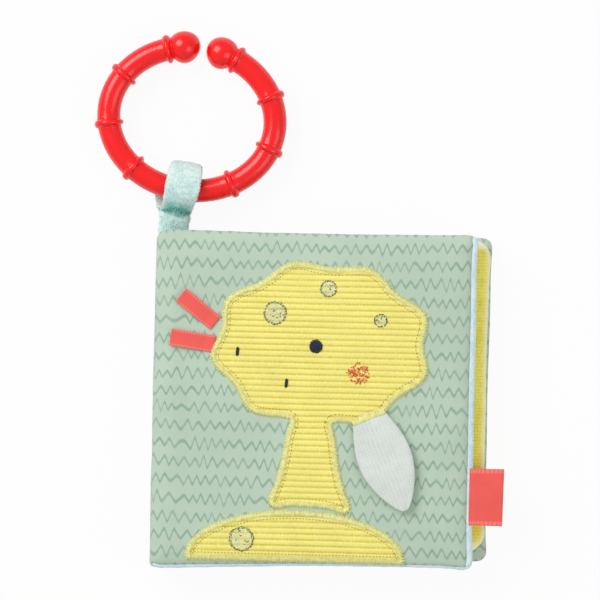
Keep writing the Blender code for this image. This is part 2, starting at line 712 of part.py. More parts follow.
class OvalPath:
    """The ring's centreline by distance along it, measured from the seat in the strap's eye."""

    def __init__(self):
        self.angles = [math.pi * (2 * step / ARC_SAMPLES - 1) for step in range(ARC_SAMPLES + 1)]
        self.lengths = [0.0]
        for before, after in zip(self.angles, self.angles[1:]):
            step = (self.at_angle(after) - self.at_angle(before)).length
            self.lengths.append(self.lengths[-1] + step)
        self.half = self.lengths[-1] / 2

    def at_angle(self, angle):
        """X runs across the ring and Y from the seat to the ring's middle."""
        return Vector((RING_HALF_WIDTH * math.sin(angle), RING_HALF_DEPTH * (1 - math.cos(angle)), 0))

    def angle_at(self, distance):
        target = distance + self.half
        index = min(max(bisect.bisect_left(self.lengths, target), 1), ARC_SAMPLES)
        before, after = self.lengths[index - 1], self.lengths[index]
        share = (target - before) / (after - before)
        return self.angles[index - 1] + share * (self.angles[index] - self.angles[index - 1])

    def at(self, distance):
        return self.at_angle(self.angle_at(distance))

    def distance_of(self, angle):
        index = bisect.bisect_left(self.angles, angle)
        return self.lengths[index] - self.half


def ball_distance(path):
    """How far along the ring from its seat a ball's centre lies."""
    half_apart = BALL_RADIUS + BALL_GAP / 2
    return path.distance_of(math.pi - math.asin(half_apart / RING_HALF_WIDTH))


def ring_half_stations(path):
    """Distance and tube radius from the seat's rib to the tip of one ball."""
    ball = ball_distance(path)
    pitch = (ball - NECK_REACH) / RIBS_PER_SIDE
    stations = []
    for rib in range(RIBS_PER_SIDE + 1):
        for share in RIB_ANGLE_SHARES:
            swell = (RIB_RADIUS - TUBE_RADIUS) * math.sqrt(1 - share * share)
            stations.append((rib * pitch + share * RIB_HALF_WIDTH, TUBE_RADIUS + swell))
        if rib < RIBS_PER_SIDE:
            start = rib * pitch + RIB_HALF_WIDTH
            run = pitch - 2 * RIB_HALF_WIDTH
            stations += [(start + run * step / PLAIN_STEPS, TUBE_RADIUS) for step in range(1, PLAIN_STEPS)]
    first = math.asin(NECK_RADIUS / BALL_RADIUS)
    last = math.pi - math.asin(BALL_TIP_RADIUS / BALL_RADIUS)
    for step in range(BALL_STEPS + 1):
        angle = first + (last - first) * step / BALL_STEPS
        stations.append((ball - BALL_RADIUS * math.cos(angle), BALL_RADIUS * math.sin(angle)))
    return [station for station in stations if station[0] >= 0]


def ring_tilt(path):
    """The ring leans down from its seat until its balls touch the surface."""
    seat_z = strap_places()[2].z
    reach = path.at(ball_distance(path)).y
    return -math.asin((seat_z - BALL_RADIUS) / reach)


def build_ring(stage):
    """The clip ring, turning about the middle of the curve that its seat is part of."""
    path = OvalPath()
    half = ring_half_stations(path)
    stations = [(-distance, radius) for distance, radius in reversed(half) if distance > 0] + half
    points = [path.at(distance) for distance, _ in stations]
    radii = [radius for _, radius in stations]
    seat = strap_places()[2]
    lean = heading_vector(math.pi / 2 - STRAP_LEAN)
    across = heading_vector(-STRAP_LEAN)
    level = axes_frame(seat, across, lean)
    frame = level @ Matrix.Rotation(ring_tilt(path), 4, "X")
    turn_centre = Matrix.Translation((0, RING_HALF_WIDTH ** 2 / RING_HALF_DEPTH, 0))
    stage.joint("ring_slide", frame @ turn_centre, "loop_eye_bend")
    ring = tube_piece("clip_ring", points, TUBE_RADIUS, 4, radii=radii)
    stage.add("clip_ring", ring, "red_plastic", frame, "ring_slide")


def main():
    stage = Stage("cloth_book")
    stage.joint("spine_fold", Matrix.Translation((FOLD_X, 0, BACK_Z)))
    stage.joint("front_cover_fold", Matrix.Translation((FOLD_X, 0, FRONT_Z)), "spine_fold")
    stage.joint("page_turn", Matrix.Translation((PAGE_FOLD_X, 0, PAGE_Z)), "spine_fold")
    build_leaves(stage)
    build_spine(stage)
    add_patch(stage, "applique_tree", tree_outline())
    add_patch(stage, "applique_hill", hill_outline())
    build_embroidery(stage)
    build_flap(stage)
    build_tags(stage)
    build_strap(stage)
    build_ring(stage)


main()
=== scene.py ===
"""A closed cloth book with a clip ring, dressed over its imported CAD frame.

Lengths are in metres, in the frame's own axes: the book lies on its back cover, +X runs from the
spine to the open edge, +Y to the edge with the strap and +Z up through the leaves.
"""

import json
import logging
import math
import random
from collections.abc import Callable, Iterator
from contextlib import contextmanager
from dataclasses import dataclass, field
from enum import Enum

import bmesh
import bpy
from mathutils import Matrix, Vector, noise
from mathutils.bvhtree import BVHTree
from mathutils.geometry import interpolate_bezier


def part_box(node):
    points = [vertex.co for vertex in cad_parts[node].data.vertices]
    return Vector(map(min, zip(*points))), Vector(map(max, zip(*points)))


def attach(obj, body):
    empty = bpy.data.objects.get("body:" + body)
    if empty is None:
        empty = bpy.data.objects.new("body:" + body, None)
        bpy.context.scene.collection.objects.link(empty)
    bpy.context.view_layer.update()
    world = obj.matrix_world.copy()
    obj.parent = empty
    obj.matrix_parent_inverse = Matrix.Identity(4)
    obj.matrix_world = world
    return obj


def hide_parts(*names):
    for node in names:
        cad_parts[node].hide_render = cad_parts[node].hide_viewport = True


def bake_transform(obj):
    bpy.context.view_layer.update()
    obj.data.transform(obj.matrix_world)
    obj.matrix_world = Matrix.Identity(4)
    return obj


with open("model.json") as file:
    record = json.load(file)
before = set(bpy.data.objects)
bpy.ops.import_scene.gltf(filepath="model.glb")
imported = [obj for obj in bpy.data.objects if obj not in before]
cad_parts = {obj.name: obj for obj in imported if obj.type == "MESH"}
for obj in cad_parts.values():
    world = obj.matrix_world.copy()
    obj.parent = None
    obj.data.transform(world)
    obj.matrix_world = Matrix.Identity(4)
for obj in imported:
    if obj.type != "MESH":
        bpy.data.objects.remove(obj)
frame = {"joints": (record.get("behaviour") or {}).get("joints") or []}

MM = 0.001
UPPER_RIBBON_WAY = math.radians(142.0)
LOWER_RIBBON_WAY = math.radians(172.0)
LABEL_SEAM_X = 54.6 * MM
STRAP_SEAM = Vector((-54.3 * MM, 60.5 * MM, 7.15 * MM))
STRAP_LEAN = math.radians(8.0)
STRAP_REACH_MM = 15
Colour = tuple[float, float, float]

log = logging.getLogger("cloth_book")


def screen(red: int, green: int, blue: int) -> Colour:
    """Turns a colour as a screen shows it into the linear one that a shader uses.

    Args:
        red: The red share, 0 to 255.
        green: The green share, 0 to 255.
        blue: The blue share, 0 to 255.

    Returns:
        The three linear shares.
    """
    shares = (red / 255, green / 255, blue / 255)
    return tuple(s / 12.92 if s <= 0.04045 else ((s + 0.055) / 1.055) ** 2.4 for s in shares)


class Source(Enum):
    """Where a pattern takes its coordinates from."""

    OBJECT = "Object"
    CLOTH_MAP = "UV"


class Graph:
    """Writes the shader nodes of one material."""

    def __init__(self, name: str) -> None:
        """Starts from a plain Principled shader.

        Args:
            name: The material's name.
        """
        self.material = bpy.data.materials.new(name)
        self.material.use_nodes = True
        self.tree = self.material.node_tree
        self.shader = self.tree.nodes["Principled BSDF"]

    def feed(self, socket: bpy.types.NodeSocket, value: object) -> None:
        """Links a socket to another one, or sets its number.

        Args:
            socket: The input.
            value: Another node's output, or a plain value.
        """
        if isinstance(value, bpy.types.NodeSocket):
            self.tree.links.new(value, socket)
        elif isinstance(value, tuple) and len(value) == 3 and socket.type == "RGBA":
            socket.default_value = (*value, 1.0)
        else:
            socket.default_value = value

    def node(self, kind: str, options: dict, inputs: dict) -> bpy.types.Node:
        """Adds a node.

        Args:
            kind: Blender's name for the node.
            options: Its settings by name.
            inputs: Its inputs by name or number.

        Returns:
            The node.
        """
        made = self.tree.nodes.new(kind)
        for option, value in options.items():
            setattr(made, option, value)
        for key, value in inputs.items():
            self.feed(made.inputs[key], value)
        return made

    def shade(self, **values: object) -> None:
        """Sets the shader's own sockets, words joined by an underline."""
        for key, value in values.items():
            self.feed(self.shader.inputs[key.replace("_", " ")], value)

    def math(self, operation: str, *values: object) -> bpy.types.NodeSocket:
        """The result of a Math node with its inputs in order."""
        return self.node("ShaderNodeMath", {"operation": operation}, dict(enumerate(values))).outputs[0]

    def times(self, value: object, factor: object) -> bpy.types.NodeSocket:
        """A value times a factor."""
        return self.math("MULTIPLY", value, factor)

    def line(self, value: object, slope: object, start: object) -> bpy.types.NodeSocket:
        """A value times a slope, plus a start."""
        return self.math("MULTIPLY_ADD", value, slope, start)

    def sine(self, value: object, period: float) -> bpy.types.NodeSocket:
        """The sine of a length that repeats after a period."""
        return self.math("SINE", self.times(value, 2 * math.pi / period))

    def blend(self, share: object, first: object, second: object) -> bpy.types.NodeSocket:
        """Two colours mixed, with a share from 0 to 1 of the second."""
        return self.node("ShaderNodeMix", {"data_type": "RGBA"}, {0: share, 6: first, 7: second}).outputs[2]

    def ease(self, value: object, low: float, high: float, start: float = 0.0,
             end: float = 1.0) -> bpy.types.NodeSocket:
        """Maps a value smoothly from one range to another.

        Args:
            value: The value.
            low: Where the change begins.
            high: Where it ends.
            start: The result at low.
            end: The result at high.

        Returns:
            The mapped value.
        """
        inputs = {"Value": value, "From Min": low, "From Max": high, "To Min": start, "To Max": end}
        made = self.node("ShaderNodeMapRange", {"interpolation_type": "SMOOTHSTEP"}, inputs)
        return made.outputs["Result"]

    def place(self, source: Source) -> bpy.types.NodeSocket:
        """The coordinates of a source, in metres."""
        return self.node("ShaderNodeTexCoord", {}, {}).outputs[source.value]

    def parts(self, vector: bpy.types.NodeSocket) -> tuple:
        """A vector's three numbers."""
        return tuple(self.node("ShaderNodeSeparateXYZ", {}, {"Vector": vector}).outputs)

    def joined(self, x: object, y: object, z: object = 0.0) -> bpy.types.NodeSocket:
        """A vector made of three numbers."""
        return self.node("ShaderNodeCombineXYZ", {}, {0: x, 1: y, 2: z}).outputs[0]

    def stretched(self, vector: bpy.types.NodeSocket, scale: tuple) -> bpy.types.NodeSocket:
        """A vector scaled along its three axes."""
        return self.node("ShaderNodeMapping", {}, {"Vector": vector, "Scale": scale}).outputs[0]

    def grain(self, vector: bpy.types.NodeSocket, scale: float, detail: float = 2.0) -> bpy.types.NodeSocket:
        """Soft noise.

        Args:
            vector: Where it is read.
            scale: Its grains to the metre.
            detail: How many finer layers it has.

        Returns:
            The noise, about 0.3 to 0.7.
        """
        inputs = {"Vector": vector, "Scale": scale, "Detail": detail}
        return self.node("ShaderNodeTexNoise", {}, inputs).outputs[0]

    def attribute(self, name: str) -> bpy.types.NodeSocket:
        """A number that the mesh holds at each point."""
        return self.node("ShaderNodeAttribute", {"attribute_name": name}, {}).outputs["Fac"]

    def relief(self, height: bpy.types.NodeSocket, depth: float, strength: float = 1.0,
               under: object = None) -> bpy.types.NodeSocket:
        """Bumps the shading.

        Args:
            height: The height, 0 to 1.
            depth: How deep a height of 1 is, in metres.
            strength: How much of it shows.
            under: The normal that it is laid over, if any.

        Returns:
            The bumped normal.
        """
        inputs = {"Height": height, "Distance": depth, "Strength": strength}
        if under is not None:
            inputs["Normal"] = under
        return self.node("ShaderNodeBump", {}, inputs).outputs[0]


@dataclass(frozen=True)
class Finish:
    """A surface that can be put on a piece.

    Attributes:
        name: The finish's name.
        colour: Its main colour.
    """

    name: str
    colour: Colour

    def material(self) -> bpy.types.Material:
        """The finish's material, written once and shared after that."""
        ready = bpy.data.materials.get(self.name)
        if ready is None:
            graph = Graph(self.name)
            self.write(graph)
            ready = graph.material
        return ready

    def dark(self, share: float) -> Colour:
        """The main colour darkened to a share of itself."""
        return tuple(c * share for c in self.colour)

    def write(self, graph: Graph) -> None:
        """Writes the finish's nodes, plain with a little unevenness.

        Args:
            graph: The material's nodes.
        """
        place = graph.place(Source.OBJECT)
        uneven = graph.grain(place, 60.0, 3.0)
        graph.shade(Base_Color=graph.blend(uneven, self.dark(0.88), self.colour), Roughness=0.9)
        graph.shade(Normal=graph.relief(graph.grain(place, 3000.0), 0.1 * MM, 0.4))


@dataclass(frozen=True)
class PrintedCotton(Finish):
    """Woven cotton with rows of hand-drawn zigzag lines, read from the cloth's own map.

    Attributes:
        line: The colour of the lines.
        row: The distance from row to row.
        wave: The usual width of one zigzag.
        swing: Half the usual height of a zigzag, as a share of a row.
        pen: Half the width of a line.
        yarn: From thread to thread of the weave.
    """

    line: Colour = screen(148, 178, 158)
    row: float = 6.45 * MM
    wave: float = 3.6 * MM
    swing: float = 0.22
    pen: float = 0.36 * MM
    yarn: float = 0.42 * MM

    def write(self, graph: Graph) -> None:
        """Writes the weave and the printed rows."""
        place = graph.place(Source.CLOTH_MAP)
        x, y, _ = graph.parts(place)
        drift = graph.line(graph.grain(graph.joined(x, y), 22.0, 1.0), 0.5, -0.25)
        rows = graph.math("ADD", graph.math("DIVIDE", y, self.row), drift)
        number = graph.math("FLOOR", rows)
        within = graph.math("SUBTRACT", graph.math("FRACT", rows), 0.5)
        lane = graph.times(number, 0.173)
        shift = graph.grain(graph.joined(x, lane), 80.0, 1.0)
        along = graph.line(shift, 1.75, graph.times(number, 0.37))
        turns = graph.math("ADD", graph.math("DIVIDE", x, self.wave), along)
        fold = graph.line(graph.math("PINGPONG", turns, 0.5), 4.0, -1.0)
        rounding = graph.line(graph.times(fold, fold), -0.42, 1.42)
        zigzag = graph.times(fold, rounding)
        lively = graph.grain(graph.joined(x, graph.math("ADD", lane, 3.1)), 170.0, 1.0)
        swing = graph.line(lively, 0.56, self.swing - 0.28)
        away = graph.math("ABSOLUTE", graph.math("SUBTRACT", within, graph.times(zigzag, swing)))
        distance = graph.times(away, self.row * 0.56)
        soft = graph.line(graph.grain(place, 900.0), 0.24 * MM, -0.12 * MM)
        ink = graph.ease(graph.math("ADD", distance, soft), self.pen * 0.35, self.pen * 1.7, 1.0, 0.0)
        pressure = graph.ease(graph.grain(place, 140.0), 0.3, 0.65, 0.7, 1.0)
        cloud = graph.grain(place, 34.0, 3.0)
        worn = graph.blend(graph.ease(cloud, 0.35, 0.65), self.dark(0.95), self.colour)
        fleck = graph.ease(graph.grain(place, 1500.0, 1.0), 0.35, 0.7, 0.0, 0.1)
        base = graph.blend(fleck, worn, self.dark(0.72))
        printed = graph.blend(graph.times(ink, pressure), base, self.line)
        weave = graph.line(graph.times(graph.sine(x, self.yarn), graph.sine(y, self.yarn)), 0.5, 0.5)
        crease = graph.relief(graph.grain(place, 58.0, 3.0), 1.1 * MM, 0.5)
        graph.shade(Base_Color=printed, Roughness=0.92, Sheen_Weight=0.12, Sheen_Roughness=0.5,
                    Specular_IOR_Level=0.2, Normal=graph.relief(weave, 0.05 * MM, 0.35, crease))


@dataclass(frozen=True)
class Corduroy(Finish):
    """Ribbed pile cloth; the mesh's own "wale" value says where a rib is high.

    Attributes:
        groove: The colour between the ribs, a painted shade that the grooves are darkened to.
    """

    # Painted shade: the darker colour of the grooves between the ribs.
    groove: Colour = screen(222, 200, 76)

    def write(self, graph: Graph) -> None:
        """Writes ribs with painted shade in their grooves, their pale fibres and the soft sheen of the pile.
        """
        place = graph.place(Source.OBJECT)
        high = graph.attribute("wale")
        fibres = graph.grain(graph.stretched(place, (2.6, 0.8, 1.0)), 1150.0, 3.0)
        patch = graph.grain(place, 95.0, 3.0)
        ridge = graph.blend(graph.ease(patch, 0.35, 0.68), self.dark(0.94), self.colour)
        # Painted shade: the colour darkens from the crests down into the grooves, following the mesh's rib
        # height.
        uneven = graph.line(fibres, 0.5, graph.math("SUBTRACT", high, 0.25))
        ribbed = graph.blend(graph.ease(uneven, 0.08, 0.78), self.groove, ridge)
        flecked = graph.blend(graph.ease(fibres, 0.46, 0.78, 0.0, 0.5), ribbed, screen(255, 250, 190))
        worn = graph.blend(graph.ease(fibres, 0.46, 0.3, 0.0, 0.22), flecked, self.groove)
        pile = graph.relief(fibres, 0.32 * MM, 0.6)
        graph.shade(Base_Color=worn, Roughness=0.95, Sheen_Weight=0.35, Sheen_Roughness=0.4,
                    Specular_IOR_Level=0.15, Normal=pile)


@dataclass(frozen=True)
class Plush(Finish):
    """Short dense pile, mottled at random with painted light and shade of crushed pile, paler where its
    fibres lie over.

    Attributes:
        deep: The painted shade colour, as seen down between the fibres.
        fleck: Fibre marks to the metre.
        shade_name: The mesh value that holds painted shade, darkening the pile in the folds where it is
            gathered, or nothing.
        ribs: From rib to rib of a ribbed pile, whose grooves get painted shade, or nothing.
        rim: The colour along the sewn edge, where the mesh's "rim" value is high.
        rim_start: The "rim" value at which that colour begins to show.
        hush: How much painted shade shows where nothing gathers the pile.
        sheen: How much pale light its fibres catch.
    """

    deep: Colour = screen(120, 185, 185)
    fleck: float = 950.0
    shade_name: str = ""
    ribs: float = 0.0
    rim: Colour = None
    rim_start: float = 0.18
    hush: float = 0.5
    sheen: float = 0.5

    def write(self, graph: Graph) -> None:
        """Writes the mottled pile."""
        place = graph.place(Source.OBJECT)
        fibres = graph.grain(graph.stretched(place, (1.5, 0.7, 1.0)), self.fleck, 3.0)
        lie = graph.grain(place, 190.0, 2.0)
        # Painted light and shade: random patches of the pile take the darker colour, as crushed pile would in
        # light.
        share = graph.ease(graph.line(lie, 0.45, graph.times(fibres, 0.6)),
                           0.42, 0.6, self.hush, 0.0)
        # Painted shade: darker bands between the ribs, which have no relief of their own.
        if self.ribs:
            across = graph.parts(place)[1]
            bent = graph.line(lie, 0.9 * MM, across)
            wave = graph.sine(bent, self.ribs)
            share = graph.line(graph.ease(wave, -0.3, 0.95), 0.45, share)
            share = graph.math("MINIMUM", share, 1.0)
        # Painted shade from the mesh value: darker pile in the strap's folds above the stitches and in the
        # stem's grooves.
        if self.shade_name:
            gathered = graph.times(graph.attribute(self.shade_name),
                                  graph.ease(fibres, 0.3, 0.62, 1.25, 0.55))
            share = graph.math("ADD", share, gathered)
            share = graph.math("MINIMUM", share, 1.0)
        pile = graph.relief(fibres, 0.45 * MM, 0.75)
        mixed = graph.blend(share, self.colour, self.deep)
        if self.rim:
            edge = graph.math("ADD", graph.attribute("rim"), graph.line(fibres, 0.2, -0.1))
            mixed = graph.blend(graph.ease(edge, self.rim_start, 0.8), mixed, self.rim)
        graph.shade(Base_Color=mixed, Roughness=0.95,
                    Sheen_Weight=self.sheen, Sheen_Roughness=0.35, Specular_IOR_Level=0.1, Normal=pile)


@dataclass(frozen=True)
class Gauze(Finish):
    """Two-layer muslin with an open square weave, read from the cloth's own map.

    Attributes:
        pitch: From thread to thread.
    """

    pitch: float = 0.95 * MM

    def write(self, graph: Graph) -> None:
        """Writes the thread grid, the soft crinkle and painted shade in the holes."""
        place = graph.place(Source.CLOTH_MAP)
        x, y, _ = graph.parts(place)
        wobble = graph.line(graph.grain(place, 260.0), 0.5 * MM, -0.25 * MM)
        across = graph.sine(graph.math("ADD", x, wobble), self.pitch)
        along = graph.sine(graph.math("ADD", y, wobble), self.pitch)
        mesh = graph.line(graph.math("MAXIMUM", across, along), 0.5, 0.5)
        strength = graph.ease(graph.grain(place, 330.0, 2.0), 0.4, 0.62, 0.12, 0.6)
        # Painted shade: the open holes of the weave are darker, with random cloudy tone added.
        hole_shade = graph.times(graph.ease(mesh, 0.15, 0.8, 1.0, 0.0), strength)
        cloud = graph.ease(graph.grain(place, 120.0, 3.0), 0.35, 0.65, 0.0, 0.25)
        shade = graph.math("MINIMUM", graph.math("ADD", hole_shade, cloud), 1.0)
        folds = graph.grain(graph.stretched(place, (1.0, 0.35, 1.0)), 420.0, 3.0)
        crinkle = graph.relief(folds, 0.5 * MM, 0.5)
        graph.shade(Base_Color=graph.blend(shade, self.colour, self.dark(0.74)),
                    Roughness=0.95, Sheen_Weight=0.15, Specular_IOR_Level=0.15,
                    Normal=graph.relief(mesh, 0.14 * MM, 0.6, crinkle))


@dataclass(frozen=True)
class Satin(Finish):
    """Woven ribbon; its map runs in metres from one selvage, and "selvage" is 1 along both.

    Attributes:
        selvage: The colour of the woven edges.
        weft: From one weft line to the next.
        dash: From one dash of the woven edges to the next.
    """

    selvage: Colour = screen(255, 140, 128)
    weft: float = 0.36 * MM
    dash: float = 1.05 * MM

    def write(self, graph: Graph) -> None:
        """Writes the fine weft lines, the paler edges and their small dashes."""
        place = graph.place(Source.CLOTH_MAP)
        x, y, _ = graph.parts(place)
        ribs = graph.line(graph.sine(x, self.weft), 0.5, 0.5)
        dash = graph.ease(graph.sine(x, self.dash), -0.1, 0.35)
        edge = graph.times(graph.attribute("selvage"), graph.line(dash, 0.6, 0.25))
        cloud = graph.ease(graph.grain(place, 160.0, 3.0), 0.35, 0.65, 0.0, 0.35)
        body = graph.blend(cloud, self.colour, self.dark(0.86))
        thread = graph.grain(graph.stretched(place, (0.12, 1.6, 1.0)), 2200.0, 2.0)
        graph.shade(Base_Color=graph.blend(edge, body, self.selvage), Roughness=0.5,
                    Sheen_Weight=0.25, Sheen_Roughness=0.3, Specular_IOR_Level=0.35,
                    Normal=graph.relief(graph.line(thread, 0.6, ribs), 0.05 * MM, 0.5))


@dataclass(frozen=True)
class Thread(Finish):
    """Twisted embroidery thread."""

    def write(self, graph: Graph) -> None:
        """Writes the twist and the way one stitch is paler than the next."""
        place = graph.place(Source.OBJECT)
        strand = graph.grain(place, 2600.0, 2.0)
        stitch = graph.grain(place, 800.0, 1.0)
        share = graph.ease(graph.line(strand, 0.5, graph.times(stitch, 0.5)), 0.36, 0.6)
        graph.shade(Base_Color=graph.blend(share, self.dark(0.82), self.colour), Roughness=0.6,
                    Sheen_Weight=0.3,
                    Specular_IOR_Level=0.3, Normal=graph.relief(strand, 0.12 * MM, 0.6))


@dataclass(frozen=True)
class GlossPlastic(Finish):
    """Moulded glossy plastic, slightly cloudy below its surface."""

    def write(self, graph: Graph) -> None:
        """Writes the faint waviness of the moulding and fine handling marks."""
        place = graph.place(Source.OBJECT)
        flow = graph.grain(place, 55.0, 2.0)
        rub = graph.grain(place, 900.0, 3.0)
        rough = graph.ease(rub, 0.35, 0.7, 0.2, 0.26)
        wave = graph.relief(flow, 0.25 * MM, 0.15)
        cloudy = graph.blend(graph.ease(flow, 0.3, 0.7), self.dark(0.97), self.colour)
        graph.shade(Base_Color=cloudy, Roughness=rough,
                    Specular_IOR_Level=0.5, Coat_Weight=0.15, Coat_Roughness=0.15, Normal=wave)


@dataclass(frozen=True)
class Film(Finish):
    """Thin clear crackling film."""

    def write(self, graph: Graph) -> None:
        """Writes its creased shine."""
        place = graph.place(Source.OBJECT)
        crease = graph.grain(place, 190.0, 4.0)
        graph.shade(Base_Color=graph.blend(crease, self.colour, (1.0, 1.0, 1.0)), Roughness=0.2,
                    Transmission_Weight=0.6, IOR=1.4, Normal=graph.relief(crease, 0.4 * MM, 0.7))


SAGE_COTTON = PrintedCotton("sage cotton with zigzag print", screen(194, 214, 194))
YELLOW_CORDUROY = Corduroy("yellow corduroy", screen(255, 245, 138))
BLUE_PLUSH = Plush("pale blue plush", screen(230, 245, 249), screen(176, 218, 230), 1100.0)
# The mint plush's teal also serves as painted shade in the strap's folds and grooves.
MINT_PLUSH = Plush("mint plush", screen(229, 247, 244), screen(16, 190, 182), 900.0, "gather",
                   hush=0.14, sheen=0.22)
# A paler, less shaded copy of the mint plush for the stem: painted light against the loop's shadow.
MINT_PLUSH_PAINTED_LIGHTER = Plush("mint plush painted lighter", screen(234, 255, 252), screen(74, 212, 202), 900.0, "gather",
                           hush=0.1, sheen=0.4)
YELLOW_PLUSH = Plush("yellow ribbed plush", screen(255, 246, 124), screen(240, 216, 66), 800.0,
                     ribs=1.15 * MM, rim=screen(255, 250, 200))
CREAM_CLOTH = Finish("cream cotton", screen(240, 234, 212))
GREEN_GAUZE = Gauze("pale green muslin", screen(226, 233, 227))
CORAL_SATIN = Satin("coral satin ribbon", screen(250, 97, 88))
STITCH_YELLOW = Thread("pale yellow thread", screen(255, 252, 168))
STITCH_OCHRE = Thread("ochre thread", screen(190, 164, 66))
STITCH_SAGE = Thread("sage green thread", screen(86, 100, 46))
STITCH_PALE = Thread("pale green thread", screen(244, 250, 208))
STITCH_CORAL = Thread("coral thread", screen(232, 84, 54))
STITCH_NAVY = Thread("navy thread", screen(30, 42, 66))
STITCH_MINT = Thread("teal thread", screen(66, 132, 136))
RED_PLASTIC = GlossPlastic("red moulded plastic", screen(255, 14, 18))
WHITE_WADDING = Finish("white wadding", screen(244, 244, 240))
CLEAR_FILM = Film("clear crinkle film", screen(232, 236, 240))


def heading(angle: float) -> Vector:
    """A level direction at an angle from +X."""
    return Vector((math.cos(angle), math.sin(angle), 0.0))


def wander(place: Vector, size: float, seed: float = 0.0) -> float:
    """Smooth noise at a place.

    Args:
        place: Where.
        size: The width of one swell.
        seed: Picks another pattern.

    Returns:
        A number from about -1 to 1.
    """
    return noise.noise(place / size + Vector((seed * 7.31, seed * 3.77, seed * 1.93)))


def facing(bm: bmesh.types.BMesh, way: tuple = (0.0, 0.0, 1.0)) -> None:
    """Turns the faces of an open cloth so that most of them look one way.

    Args:
        bm: The cloth.
        way: The way that they should look.
    """
    bm.normal_update()
    looking = sum((face.normal * face.calc_area() for face in bm.faces), Vector())
    if looking.dot(Vector(way)) < 0:
        bmesh.ops.reverse_faces(bm, faces=bm.faces)


def stand(name: str, bm: bmesh.types.BMesh, finish: Finish) -> bpy.types.Object:
    """Turns a bmesh into a smooth object with its finish.

    Args:
        name: The piece's name.
        bm: The mesh, freed afterwards.
        finish: What it is made of.

    Returns:
        The object.
    """
    mesh = bpy.data.meshes.new(name)
    bm.to_mesh(mesh)
    bm.free()
    mesh.shade_smooth()
    return link(name, mesh, finish)


def link(name: str, mesh: bpy.types.Mesh, finish: Finish) -> bpy.types.Object:
    """Adds a mesh to the scene with one finish."""
    item = bpy.data.objects.new(name, mesh)
    mesh.materials.append(finish.material())
    bpy.context.scene.collection.objects.link(item)
    return item


def declare(piece: bpy.types.Object, node: str = "", body: str = "") -> bpy.types.Object:
    """Tells the frame what a piece is.

    Args:
        piece: The piece.
        node: The CAD node that it stands for, or nothing.
        body: The body that it rides on, or nothing.

    Returns:
        The piece.
    """
    if body:
        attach(piece, body)
    if node:
        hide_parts(node)
    return piece


def copied(item: bpy.types.Object) -> bmesh.types.BMesh:
    """An object's mesh, open for editing."""
    bm = bmesh.new()
    bm.from_mesh(item.data)
    return bm


@contextmanager
def opened(item: bpy.types.Object) -> Iterator[bmesh.types.BMesh]:
    """Lends an object's mesh for editing and writes it back.

    Args:
        item: The object.

    Yields:
        Its mesh.
    """
    bm = copied(item)
    yield bm
    bm.to_mesh(item.data)
    bm.free()


def mapped_grid(columns: int, rows: int, chart: Callable[[Vector], tuple]) -> bmesh.types.BMesh:
    """A grid of one unit a side with the cloth's own map.

    Args:
        columns: Cells along X.
        rows: Cells along Y.
        chart: Gives a point's place on the flat cloth.

    Returns:
        The grid.
    """
    bm = bmesh.new()
    bmesh.ops.create_grid(bm, x_segments=columns, y_segments=rows, size=0.5)
    layer = bm.loops.layers.uv.new("cloth")
    for face in bm.faces:
        for loop in face.loops:
            loop[layer].uv = chart(loop.vert.co)
    return bm


def smooth_run(points: list[Vector], steps: int) -> list[Vector]:
    """An open smooth line through its points.

    Args:
        points: The points that it passes.
        steps: New points for each span.

    Returns:
        The line.
    """
    line, last = [], len(points) - 1
    for index in range(last):
        here, after = points[index], points[index + 1]
        before, beyond = points[max(index - 1, 0)], points[min(index + 2, last)]
        leaving, arriving = here + (after - before) / 6, after - (beyond - here) / 6
        line += interpolate_bezier(here, leaving, arriving, after, steps + 1)[:-1]
    return line + [points[-1]]


def applied(item: bpy.types.Object) -> bpy.types.Mesh:
    """The mesh of an object with its modifiers applied."""
    graph = bpy.context.evaluated_depsgraph_get()
    return bpy.data.meshes.new_from_object(item.evaluated_get(graph))


def settle(item: bpy.types.Object) -> bpy.types.Object:
    """Applies an object's modifiers for good."""
    mesh = applied(item)
    item.modifiers.clear()
    old = item.data
    item.data = mesh
    mesh.name = old.name
    bpy.data.meshes.remove(old)
    return item


def thicken(item: bpy.types.Object, thickness: float, offset: float = -1.0) -> bpy.types.Object:
    """Gives a cloth its thickness.

    Args:
        item: The cloth.
        thickness: How thick.
        offset: -1 for inward, 0 for both ways.

    Returns:
        The cloth, with the modifier applied.
    """
    shell = item.modifiers.new("thickness", "SOLIDIFY")
    shell.thickness = thickness
    shell.offset = offset
    return settle(item)


def refined(item: bpy.types.Object, levels: int) -> bpy.types.Object:
    """Subdivides and smooths an object for good."""
    finer = item.modifiers.new("smoothing", "SUBSURF")
    finer.levels = levels
    finer.render_levels = levels
    return settle(item)


def thread_mesh(name: str, runs: list[list[Vector]], radius: float, sides: int = 1) -> bpy.types.Mesh:
    """Threads laid along runs of points.

    Args:
        name: The mesh's name.
        runs: The points of each thread.
        radius: The thread's radius.
        sides: The bevel resolution of its round section.

    Returns:
        The mesh.
    """
    curve = bpy.data.curves.new(name, "CURVE")
    curve.dimensions = "3D"
    curve.bevel_depth = radius
    curve.bevel_resolution = sides
    curve.use_fill_caps = True
    for run in runs:
        spline = curve.splines.new("POLY")
        spline.points.add(len(run) - 1)
        for point, place in zip(spline.points, run):
            point.co = (*place, 1.0)
    holder = bpy.data.objects.new(name, curve)
    bpy.context.scene.collection.objects.link(holder)
    mesh = applied(holder)
    bpy.data.objects.remove(holder)
    bpy.data.curves.remove(curve)
    mesh.shade_smooth()
    return mesh


